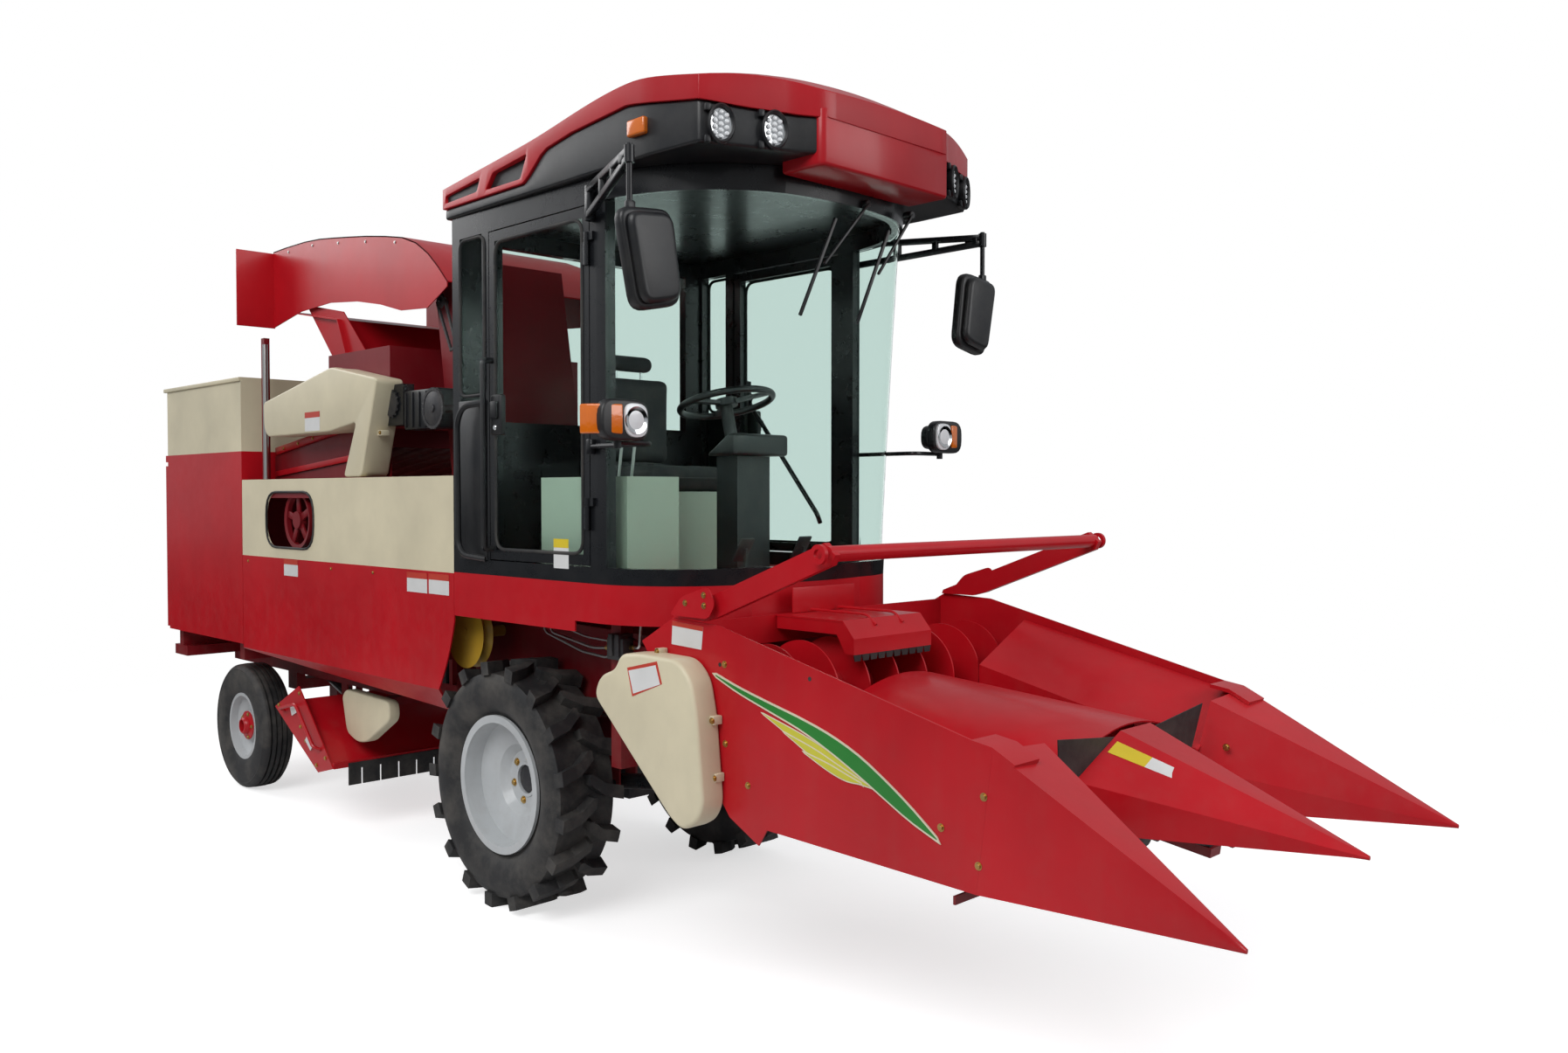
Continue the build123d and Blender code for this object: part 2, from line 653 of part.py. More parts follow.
with BuildPart() as drive_pulley:
    with BuildSketch(Plane.XY.offset(pulley_z)):
        with BuildLine():
            Polyline(
                (pulley_x + 20, -560 - 24), (pulley_x + pulley_radius, -560 - 24),
                (pulley_x + pulley_radius - 26, -560), (pulley_x + pulley_radius, -560 + 24),
                (pulley_x + 20, -560 + 24), close=True,
            )
        make_face()
    revolve(axis=Axis((pulley_x, 0, pulley_z), (0, 1, 0)))
    crossbar(pulley_x, pulley_z, 24, -590, feeder_right - seat_gap)
pieces["drive_pulley"] = drive_pulley

# ---------------------------------------------------------------- stalk chopper
rotor_x, rotor_z, rotor_radius = -1510.0, 435.0, 104.0
knife_count = 16
knife_reach = panel_y - 54
chopper_plate = [(-1820, 567), (-1530, 706), (-1150, 338), (-1315, 295)]
with BuildPart() as chopper_housing:
    for side in (-1, 1):
        with BuildSketch(side_plane(side * (half_width - 3) + 3)):
            with BuildLine():
                Polyline(*chopper_plate, close=True)
            make_face()
        extrude(amount=sheet)
    with BuildSketch(side_plane(panel_y)):
        with BuildLine():
            Polyline((-1760, 560), (-1560, 625), (-1170, 345), (-1166, 351), (-1558, 632),
                     (-1762, 566), close=True)
        make_face()
    extrude(amount=2 * panel_y)
    block(-1170, -1150, -panel_y, panel_y, 335, 365)
    for side in (-1, 1):
        block(-1600, -1560, side * (rail_y - 10), side * (rail_y + 10), 610, rail_bottom_z)
pieces["chopper_housing"] = chopper_housing

with BuildPart() as chopper_rotor:
    crossbar(rotor_x, rotor_z, 40, -panel_y + seat_gap, panel_y - seat_gap)
    for index in range(knife_count):
        y = knife_reach * (2 * index / (knife_count - 1) - 1)
        with Locations(Location((rotor_x, y, rotor_z), (0, index * 90, 0))):
            with Locations((rotor_radius / 2, 0, 0)):
                Box(rotor_radius, 12, 50)
pieces["chopper_rotor"] = chopper_rotor

with BuildPart() as chopper_flap:
    with BuildSketch(Plane.YZ.offset(-1150)):
        with Locations((0, 300)):
            Rectangle(1240, 110)
        with Locations((0, 285)):
            with GridLocations(100, 1, 12, 1):
                Rectangle(10, 81, mode=Mode.SUBTRACT)
    extrude(amount=8)
pieces["chopper_flap"] = chopper_flap

# ---------------------------------------------------------------- cab
def cab_plan(inset, z, skirt=0.0):
    """Plan of the cab at one height as corner points: moved in by inset, rear moved by skirt."""
    reach = screen_lean * (z - cab_floor_z) / (cab_top_z - cab_floor_z)
    front = screen_low_x + max(reach, 0.0) - inset
    return half_width - inset, front, cab_rear_x + inset - skirt


def cab_body(inset, z0, z1, skirt=0.0):
    """Solid between two heights with the cab's plan: straight sides and a bowed windscreen."""
    with BuildPart() as body:
        for z in (z0, z1):
            w, front, rear = cab_plan(inset, z, skirt)
            with BuildSketch(Plane.XY.offset(z)):
                with BuildLine():
                    Polyline((pillar_x, -w), (rear, -w), (rear, w), (pillar_x, w))
                    TangentArc((pillar_x, w), (front, corner_y), tangent=(1, 0))
                    ThreePointArc((front, corner_y), (front + screen_bow, 0), (front, -corner_y))
                    TangentArc((pillar_x, -w), (front, -corner_y), tangent=(1, 0))
                make_face()
        loft()
    return body.part


skirt_low_z = 1176.0
with BuildPart() as cab_base:
    add(cab_body(0, skirt_low_z, cab_floor_z))
    add(cab_body(sheet, skirt_low_z - 1, cab_base_z, skirt=20), mode=Mode.SUBTRACT)
    # the skirt steps up ahead of the wheel arch
    block(860, 1500, -800, 800, skirt_low_z - 5, skirt_low_z + 40, mode=Mode.SUBTRACT)
pieces["cab_base"] = cab_base

window_low = cab_floor_z + sill_height
window_high = cab_top_z - 90
quarter_rear_x, quarter_front_x = cab_rear_x + 60, door_rear_x - 50
rear_window_low, rear_window_y = 2000.0, 560.0
door_gap = 5.0
door_frame = 45.0
hinge_offset = 12.0             # door hinges stand this far outside the cab
hinge_line_x = door_front_x - 4.0
hinge_heights = (window_low + 180.0, window_high - 180.0)
with BuildPart() as cab_frame:
    add(cab_body(0, cab_floor_z, cab_top_z))
    add(cab_body(cab_wall, cab_floor_z - 1, cab_top_z - 20), mode=Mode.SUBTRACT)
    # windscreen, doorways, quarter windows and the rear window
    block(pillar_x + 50, 1800, -800, 800, window_low, window_high, mode=Mode.SUBTRACT)
    block(door_rear_x, door_front_x, -800, 800, window_low, window_high, mode=Mode.SUBTRACT)
    block(quarter_rear_x, quarter_front_x, -800, 800, window_low, window_high,
          mode=Mode.SUBTRACT)
    block(cab_rear_x - 10, cab_rear_x + 60, -rear_window_y, rear_window_y, rear_window_low,
          window_high, mode=Mode.SUBTRACT)
    # fixed halves of the door hinges, above the doors' own barrels
    for side in (-1, 1):
        for z in hinge_heights:
            with Locations((hinge_line_x, side * (half_width + hinge_offset), z + 45 + seat_gap)):
                Cylinder(10, 30, align=(Align.CENTER, Align.CENTER, Align.MIN))
            block(hinge_line_x, hinge_line_x + 34, side * half_width,
                  side * (half_width + hinge_offset), z + 45 + seat_gap, z + 75 + seat_gap)
pieces["cab_frame"] = cab_frame

with BuildPart() as cab_glass:
    add(cab_body(12, window_low + seat_gap, window_high - seat_gap))
    add(cab_body(12 + glass, window_low, window_high), mode=Mode.SUBTRACT)
    block(quarter_front_x - seat_gap, pillar_x + 50 + seat_gap, -800, 800, window_low - 1,
          window_high + 1, mode=Mode.SUBTRACT)
    block(cab_rear_x - 10, quarter_rear_x + seat_gap, -800, 800, window_low - 1,
          window_high + 1, mode=Mode.SUBTRACT)
    block(cab_rear_x + 18, cab_rear_x + 18 + glass, -rear_window_y + seat_gap,
          rear_window_y - seat_gap, rear_window_low + seat_gap, window_high - seat_gap)
pieces["cab_glass"] = cab_glass

for side, hand in ((-1, "right"), (1, "left")):
    inner = side * (half_width - door_wall)
    with BuildPart() as door:
        block(door_rear_x + door_gap, door_front_x - door_gap, side * half_width, inner,
              window_low + door_gap, window_high - door_gap)
        block(door_rear_x + door_frame, door_front_x - door_frame, side * 800, side * 600,
              window_low + door_frame, window_high - door_frame, mode=Mode.SUBTRACT)
        for z in hinge_heights:
            with Locations((hinge_line_x, side * (half_width + hinge_offset), z)):
                Cylinder(10, 90)
            block(hinge_line_x - 30, hinge_line_x, side * half_width,
                  side * (half_width + hinge_offset), z - 40, z + 40)
        # grab rail along the rear edge
        rail = side * (half_width + 50)
        for z in (window_low + 40, window_low + 800):
            block(door_rear_x + 14, door_rear_x + 30, side * half_width, rail, z, z + 16)
        block(door_rear_x + 14, door_rear_x + 30, rail, rail - side * 16, window_low + 40,
              window_low + 816)
    pieces[f"door_{hand}"] = door
    with BuildPart() as pane:
        block(door_rear_x + door_frame + seat_gap, door_front_x - door_frame - seat_gap,
              side * (half_width - 16), side * (half_width - 16 - glass),
              window_low + door_frame + seat_gap, window_high - door_frame - seat_gap)
    pieces[f"door_glass_{hand}"] = pane

# ---------------------------------------------------------------- roof, lamps, mirrors
# half plan of the roof from the rear to the visor (x, y)
roof_plan = [(-40, 720), (1450, 750), (1660, 700), (1730, 400), (1800, 330)]
roof_rear_z, roof_crown_z, roof_front_z = 2970.0, 3222.0, 3060.0
roof_crown_x = 900.0
shell_thickness = 46.0


def roof_solid(inset, low, drop):
    """Solid under the roof's crown line lowered by drop, down to low, its plan moved in."""
    with BuildPart() as solid:
        with BuildSketch(Plane.XY.offset(low)):
            with BuildLine():
                half = [(x - inset if x > 0 else x + inset, y - inset) for x, y in roof_plan]
                Polyline(*half, *[(x, -y) for x, y in reversed(half)], close=True)
            make_face()
        extrude(amount=600)
        rear, front = roof_plan[0][0], roof_plan[-1][0]
        with BuildSketch(side_plane(900)):
            with BuildLine():
                Line((rear, low), (rear, roof_rear_z - drop))
                ThreePointArc((rear, roof_rear_z - drop), (roof_crown_x, roof_crown_z - drop),
                              (front, roof_front_z - drop))
                Polyline((front, roof_front_z - drop), (front, low), (rear, low))
            make_face()
        extrude(amount=1800, mode=Mode.INTERSECT)
    return solid.part


lamp_places = ((1640.0, 615.0, 77.0), (1715.0, 480.0, 77.0))   # x, y, turn outwards
lamp_z = 2925.0
lamp_radius = 62.0
with BuildPart() as roof_fascia:
    add(roof_solid(0, cab_top_z, shell_thickness))
    add(roof_solid(40, cab_top_z - 1, shell_thickness + 40), mode=Mode.SUBTRACT)
    for side in (-1, 1):
        for x, y, turn in lamp_places:
            with Locations(Location((x, side * y, lamp_z), (0, 90, side * (90 - turn)))):
                Cylinder(lamp_radius + seat_gap, 60, mode=Mode.SUBTRACT)
pieces["roof_fascia"] = roof_fascia

with BuildPart() as roof_shell:
    add(roof_solid(0, cab_top_z, 0))
    add(roof_solid(-2, cab_top_z - 1, shell_thickness), mode=Mode.SUBTRACT)
pieces["roof_shell"] = roof_shell

with BuildPart() as roof_lamps:
    for side in (-1, 1):
        for x, y, turn in lamp_places:
            with Locations(Location((x, side * y, lamp_z), (0, 90, side * (90 - turn)))):
                Cylinder(lamp_radius, 60)
pieces["roof_lamps"] = roof_lamps

arm_x = 968.0                   # where mirror and lamp arms stand on the cab's side
with BuildPart() as mirrors:
    for side in (-1, 1):
        block(arm_x, arm_x + 30, side * half_width, side * (half_width + 30), 2690, 2800)
        for z in (2700, 2776):
            with BuildSketch(Plane.XY.offset(z)):
                with BuildLine():
                    Polyline((arm_x, side * (half_width + 14)), (arm_x, side * (half_width + 30)),
                             (1500, side * 965), (1530, side * 965), (1530, side * 949),
                             (1510, side * 949), close=True)
                make_face()
            extrude(amount=14)
        block(1508, 1526, side * 949, side * 965, 2560, 2790)
        with BuildSketch(Plane.YZ.offset(1500)):
            with Locations((side * 920, 2440)):
                RectangleRounded(200, 330, 45)
        extrude(amount=50)
pieces["mirrors"] = mirrors

with BuildPart() as work_lamps:
    for side in (-1, 1):
        block(arm_x, arm_x + 26, side * half_width, side * (half_width + 26), 1835, 1890)
        block(arm_x, 1350, side * (half_width + 6), side * (half_width + 22), 1855, 1871)
        block(1334, 1350, side * (half_width + 6), side * 880, 1855, 1871)
        with BuildSketch(Plane.YZ.offset(1310)):
            with Locations((side * 880, 1940)):
                RectangleRounded(200, 138, 60)
        extrude(amount=90)
pieces["work_lamps"] = work_lamps

# ---------------------------------------------------------------- cab interior
seat_top_z = 1700.0
with BuildPart() as cab_console:
    block(300, 700, -180, 180, cab_floor_z, seat_top_z)
    block(500, 1050, 100 - half_width, 350 - half_width, cab_floor_z, 1755)
pieces["cab_console"] = cab_console

with BuildPart() as seat:
    block(250, 740, -240, 240, seat_top_z + seat_gap, seat_top_z + 110)
    block(250, 350, -230, 230, seat_top_z + 110, seat_top_z + 600)
pieces["seat"] = seat

wheel_x, wheel_z = 940.0, 2060.0
with BuildPart() as steering_column:
    block(wheel_x + 40, wheel_x + 160, -90, 90, cab_floor_z, cab_floor_z + 480)
    with Locations(Location((wheel_x + 35, 0, wheel_z - 160), (0, -14, 0))):
        Cylinder(26, 320)
    with Locations(Location((wheel_x, 0, wheel_z), (0, -14, 0))):
        Torus(190, 14)
        for turn in (30, 150, 270):
            with Locations(Location((0, 0, 0), (0, 0, turn))):
                with Locations((95, 0, 0)):
                    Box(190, 26, 14)
        Cylinder(46, 30)
pieces["steering_column"] = steering_column

# ---------------------------------------------------------------- header
# everything here keeps to the joint line where the snouts begin
joint_rise = (joint_high[0] - joint_low[0], joint_high[1] - joint_low[1])
joint_length = math.hypot(*joint_rise)
joint_normal = (joint_rise[1] / joint_length, 0, -joint_rise[0] / joint_length)


def joint_plane(gap):
    """Plane across the snout joint, this far ahead of it; sketch x is to the left, y is up."""
    return Plane(origin=(joint_low[0] + gap, 0, joint_low[1]), x_dir=(0, 1, 0),
                 z_dir=joint_normal)


# rows: the frame bars, chains and rolls lie on a plane that rises to the rear
row_front_x, row_front_z = 2880.0, 545.0
row_slope = math.radians(8.0)
row_plane = Plane(origin=(row_front_x, 0, row_front_z),
                  x_dir=(-math.cos(row_slope), 0, math.sin(row_slope)),
                  z_dir=(math.sin(row_slope), 0, math.cos(row_slope)))
row_length = 1120.0
bar_thickness = 30.0
gap_half = 45.0                 # half the stalk gap
bar_width = 70.0
web_places = (1900.0, 2640.0)    # cross webs of the row frame


def bar_top(x):
    """Height of the row bars' upper face at this x."""
    return row_front_z + bar_thickness / math.cos(row_slope) + math.tan(row_slope) * (
        row_front_x - x)


panel_outline = [
    (1320, 1184), (1483, 1274), (1713, 1265), joint_high, joint_low, (1930, 644), (1894, 588),
    (1761, 654),
]
trough_radius = auger_radius + 26.0
trough_back_x = auger_x - trough_radius
trough_low_z = auger_z - trough_radius
trough_front_x = 1860.0
header_inner = header_half - sheet
back_top_z = 1250.0
diagonal = trough_radius * math.sqrt(0.5)
outer_diagonal = (trough_radius + sheet) * math.sqrt(0.5)
with BuildPart() as header_frame:
    for side in (-1, 1):
        with BuildSketch(side_plane(side * (header_half - sheet / 2) + sheet / 2)):
            with BuildLine():
                Polyline(*panel_outline, close=True)
            make_face()
        extrude(amount=sheet)
        # hinge arm and pin reach back to the chassis lug
        with BuildSketch(side_plane(side * 476 + 10)):
            with BuildLine():
                Polyline((hinge_x - 30, hinge_z), (hinge_x, hinge_z + 30),
                         (trough_back_x + 2, hinge_z + 60), (trough_back_x + 2, hinge_z - 60),
                         (hinge_x, hinge_z - 30), close=True)
            make_face()
        extrude(amount=20)
        crossbar(hinge_x, hinge_z, hinge_pin_radius, side * 470, side * 516)
        for edge in ear_edges:
            block(header_lift_head[0] - 34, header_lift_head[0] + 34,
                  side * header_lift_y + edge, side * header_lift_y + edge + 10,
                  header_lift_head[1] - 34, trough_low_z + 6)
        pin_heads(header_lift_head, side * header_lift_y)
    # auger trough and back wall
    with BuildSketch(side_plane(header_inner)):
        with BuildLine():
            Line((trough_back_x, back_top_z), (trough_back_x, auger_z))
            ThreePointArc((trough_back_x, auger_z), (auger_x - diagonal, auger_z - diagonal),
                          (auger_x, trough_low_z))
            Polyline((auger_x, trough_low_z), (trough_front_x, trough_low_z),
                     (trough_front_x, trough_low_z - sheet), (auger_x, trough_low_z - sheet))
            ThreePointArc((auger_x, trough_low_z - sheet),
                          (auger_x - outer_diagonal, auger_z - outer_diagonal),
                          (trough_back_x - sheet, auger_z))
            Polyline((trough_back_x - sheet, auger_z), (trough_back_x - sheet, back_top_z),
                     (trough_back_x, back_top_z))
        make_face()
    extrude(amount=2 * header_inner)
    # throat to the elevator
    block(trough_back_x - 40, trough_back_x + 60, feeder_right + 10, feeder_left - 10,
          auger_z - 110, auger_z + 150, mode=Mode.SUBTRACT)
pieces["header_frame"] = header_frame

# row bars either side of each gap, with the webs and the beam that carry them
with BuildPart() as row_frame:
    for y in (-row_y, row_y):
        for side in (-1, 1):
            with BuildSketch(row_plane):
                with Locations((row_length / 2, y + side * (gap_half + bar_width / 2))):
                    Rectangle(row_length, bar_width)
            extrude(amount=bar_thickness)
    inner_edge = row_y - gap_half - bar_width
    outer_edge = row_y + gap_half + bar_width
    for x in web_places:
        low = bar_top(x) - bar_thickness
        block(x, x + 8, -inner_edge - 5, inner_edge + 5, low, low + 24)
        for side in (-1, 1):
            block(x, x + 8, side * (outer_edge - 5), side * (header_inner - seat_gap), low,
                  low + 24)
    block(trough_front_x - 60, trough_front_x - 20, seat_gap - header_inner,
          header_inner - seat_gap, bar_top(trough_front_x) - bar_thickness - 10,
          trough_low_z - sheet - seat_gap)
pieces["row_frame"] = row_frame

# deck sheets, drawn from the trough to past the joint and then cut along it
deck_rear_x, deck_front_x = 1880.0, 2800.0
hood_half = 340.0
hood_rise = 85.0
hood_rear_z, hood_front_z = 970.0, 902.0
hood_fall = (hood_front_z - hood_rear_z) / (deck_front_x - deck_rear_x)
deck_edge_y = row_y + gap_half + 10.0
with BuildPart() as header_decks:
    for x, z in ((deck_rear_x, hood_rear_z), (deck_front_x, hood_front_z)):
        with BuildSketch(Plane.YZ.offset(x)):
            with BuildLine():
                ThreePointArc((-hood_half, z), (0, z + hood_rise), (hood_half, z))
                Polyline((hood_half, z), (hood_half, z - 90), (hood_half - sheet, z - 90),
                         (hood_half - sheet, z - 4))
                ThreePointArc((hood_half - sheet, z - 4), (0, z + hood_rise - sheet),
                              (sheet - hood_half, z - 4))
                Polyline((sheet - hood_half, z - 4), (sheet - hood_half, z - 90),
                         (-hood_half, z - 90), (-hood_half, z))
            make_face()
    loft()
    for side in (-1, 1):
        for x, z in ((deck_rear_x, 1190), (deck_front_x, 985)):
            with BuildSketch(Plane.YZ.offset(x)):
                with BuildLine():
                    Polyline((side * header_inner, z), (side * deck_edge_y, z - 150),
                             (side * deck_edge_y, z - 240), (side * (deck_edge_y + sheet), z - 240),
                             (side * (deck_edge_y + sheet), z - 157),
                             (side * header_inner, z - 8), close=True)
                make_face()
        loft()
    # webs under the hood stand on the row frame
    for x in web_places:
        block(x + 8 + seat_gap, x + 14, -200, 200, bar_top(x) - bar_thickness,
              hood_rear_z + (x - deck_rear_x) * hood_fall + 52)
    split(bisect_by=joint_plane(0), keep=Keep.BOTTOM)
    # cover over the auger, resting on the back wall
    block(trough_back_x - sheet, 2160, -600, 200, back_top_z + seat_gap,
          back_top_z + seat_gap + sheet)
    block(2154, 2160, -600, 200, 1150, back_top_z + sheet)
pieces["header_decks"] = header_decks

# base section (y, height up the joint) and tip (y, z) of each snout
outer_base = ((header_half, 0), (header_half, 396), (deck_edge_y + 60, 380),
              (deck_edge_y, 160), (deck_edge_y, 20))
middle_base = ((-320, 90), (-320, 240), (-90, 360), (90, 360), (320, 240), (320, 90))
snout_tip_y = header_half - 6
flap_thickness = 3.0
with BuildPart() as snouts:
    for outline, tip, gap in (
        ([(-y, z) for y, z in outer_base], (-snout_tip_y, 666), seat_gap),
        (middle_base, (0, 722), flap_thickness + 2 * seat_gap),
        (outer_base, (snout_tip_y, 666), seat_gap),
    ):
        with BuildSketch(joint_plane(gap)):
            with BuildLine():
                Polyline(*outline, close=True)
            make_face()
        with BuildSketch(Plane.YZ.offset(tip_x)):
            with Locations(tip):
                Circle(6)
        loft()
pieces["snouts"] = snouts

with BuildPart() as row_flaps:
    for side in (-1, 1):
        with BuildSketch(joint_plane(seat_gap)):
            with BuildLine():
                Polyline((side * 436, 380), (side * 110, 343), (side * 312, 238),
                         (side * 330, 232), (side * 400, 236), close=True)
            make_face()
        extrude(amount=flap_thickness)
pieces["row_flaps"] = row_flaps

chain_width = 70.0
chain_front = 10.0
chain_length = row_length - chain_front - 86
chain_depth = 22.0
with BuildPart() as row_chains:
    for y in (-row_y, row_y):
        for side in (-1, 1):
            middle = y + side * (gap_half + chain_width / 2 + 6)
            with BuildSketch(row_plane.offset(bar_thickness + seat_gap)):
                with Locations((chain_front + chain_length / 2, middle)):
                    SlotOverall(chain_length, chain_width)
                    SlotOverall(chain_length - 24, chain_width - 24, mode=Mode.SUBTRACT)
            extrude(amount=chain_depth)
pieces["row_chains"] = row_chains

snap_radius = 32.0
snap_length = 760.0
with BuildPart() as snapping_rolls:
    for y in (-row_y, row_y):
        for side in (-1, 1):
            with Locations(row_plane.offset(-snap_radius - seat_gap).location):
                with Locations(Location((250, y + side * 40, 0), (0, 90, 0))):
                    Cylinder(snap_radius, snap_length,
                             align=(Align.CENTER, Align.CENTER, Align.MIN))
pieces["snapping_rolls"] = snapping_rolls

auger_tube_radius = 62.0
flight_pitch = 160.0
with BuildPart() as header_auger:
    crossbar(auger_x, auger_z, auger_tube_radius, seat_gap - header_inner,
             header_inner - seat_gap)
    for index in range(-4, 5):
        y = index * flight_pitch
        crossbar(auger_x, auger_z, auger_radius, y - 3, y + 3)
pieces["header_auger"] = header_auger

with BuildPart() as push_bar:
    crossbar(2180, 1512, 24, -header_half, header_half)
    for side in (-1, 1):
        with BuildSketch(side_plane(side * (header_half + 12) + 12 - side * 24)):
            with BuildLine():
                Polyline((1490, 1290), (2170, 1545), (2215, 1510), (2200, 1480), (1700, 1290),
                         (1640, 1274 + seat_gap), (1483, 1274 + seat_gap), close=True)
            make_face()
        extrude(amount=24)
pieces["push_bar"] = push_bar

with BuildPart() as header_guard:
    with BuildSketch(side_plane(-header_half - seat_gap)):
        with BuildLine():
            Polyline((1380, 1154), (1707, 1164), (1756, 1045), (1740, 654), (1663, 612),
                     (1180, 976), (1230, 1058), close=True)
        make_face()
        fillet(vertices(), radius=40)
    extrude(amount=100)
pieces["header_guard"] = header_guard

for name, piece in pieces.items():
    piece.part.label = name
    export_step(piece.part, f"parts/{name}.step")
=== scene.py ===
"""Looks of a two-row maize harvester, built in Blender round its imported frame."""
import json
import math
import bpy
from mathutils import Matrix, Vector


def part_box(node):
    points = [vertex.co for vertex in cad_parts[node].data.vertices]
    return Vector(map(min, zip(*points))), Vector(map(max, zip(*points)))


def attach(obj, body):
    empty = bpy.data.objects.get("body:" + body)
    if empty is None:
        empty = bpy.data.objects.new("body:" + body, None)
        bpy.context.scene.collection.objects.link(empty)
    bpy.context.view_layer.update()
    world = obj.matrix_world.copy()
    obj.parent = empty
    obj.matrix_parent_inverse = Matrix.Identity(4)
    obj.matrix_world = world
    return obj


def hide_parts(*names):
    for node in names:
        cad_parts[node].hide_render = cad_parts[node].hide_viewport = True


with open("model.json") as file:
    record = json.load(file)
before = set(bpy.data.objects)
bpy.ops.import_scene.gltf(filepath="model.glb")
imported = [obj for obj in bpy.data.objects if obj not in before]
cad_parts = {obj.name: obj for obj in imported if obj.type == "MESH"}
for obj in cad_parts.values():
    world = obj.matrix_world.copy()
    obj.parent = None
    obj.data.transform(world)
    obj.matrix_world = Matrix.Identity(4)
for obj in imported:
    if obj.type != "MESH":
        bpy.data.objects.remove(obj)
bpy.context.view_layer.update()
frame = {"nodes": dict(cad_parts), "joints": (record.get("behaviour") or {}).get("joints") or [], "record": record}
nodes = frame["nodes"]
scene = bpy.context.scene
bpy.ops.object.select_all(action="DESELECT")


# ---- shader groups
def group(name, inputs, outputs):
    """New shader group with its sockets; returns the tree and its two end nodes."""
    tree = bpy.data.node_groups.new(name, "ShaderNodeTree")
    for label, kind, value in inputs:
        socket = tree.interface.new_socket(label, in_out="INPUT", socket_type=kind)
        if value is not None:
            socket.default_value = value
    for label, kind in outputs:
        tree.interface.new_socket(label, in_out="OUTPUT", socket_type=kind)
    return tree, tree.nodes.new("NodeGroupInput"), tree.nodes.new("NodeGroupOutput")


FLOAT, COLOUR, VECTOR = "NodeSocketFloat", "NodeSocketColor", "NodeSocketVector"


def noise(tree, place, scale, detail=3.0, rough=0.55):
    """Noise texture on Object coordinates."""
    node = tree.nodes.new("ShaderNodeTexNoise")
    node.inputs["Scale"].default_value = scale
    node.inputs["Detail"].default_value = detail
    node.inputs["Roughness"].default_value = rough
    tree.links.new(place, node.inputs["Vector"])
    return node


def ramp(tree, value, low, high, low_out=0.0, high_out=1.0):
    """Map a value from one range to another, clamped."""
    node = tree.nodes.new("ShaderNodeMapRange")
    for key, number in (("From Min", low), ("From Max", high), ("To Min", low_out),
                        ("To Max", high_out)):
        node.inputs[key].default_value = number
    tree.links.new(value, node.inputs["Value"])
    return node.outputs["Result"]


def mixed(tree, factor, a, b):
    """Colour mix of two sockets or colours."""
    node = tree.nodes.new("ShaderNodeMix")
    node.data_type = "RGBA"
    for socket, value in zip((node.inputs["Factor"], node.inputs[6], node.inputs[7]),
                             (factor, a, b)):
        if isinstance(value, (int, float, tuple)):
            socket.default_value = value
        else:
            tree.links.new(value, socket)
    return node.outputs[2]


def maths(tree, operation, a, b=None):
    """Math node on sockets or numbers."""
    node = tree.nodes.new("ShaderNodeMath")
    node.operation = operation
    for socket, value in zip(node.inputs, (a, b)):
        if value is None:
            continue
        if isinstance(value, (int, float)):
            socket.default_value = value
        else:
            tree.links.new(value, socket)
    return node.outputs[0]


def bump(tree, height, strength, distance):
    """Bump node from a height socket."""
    node = tree.nodes.new("ShaderNodeBump")
    node.inputs["Strength"].default_value = strength
    node.inputs["Distance"].default_value = distance
    tree.links.new(height, node.inputs["Height"])
    return node.outputs["Normal"]


DUST_COLOUR, BLOOM_COLOUR = (0.2, 0.15, 0.12, 1), (0.3, 0.27, 0.23, 1)


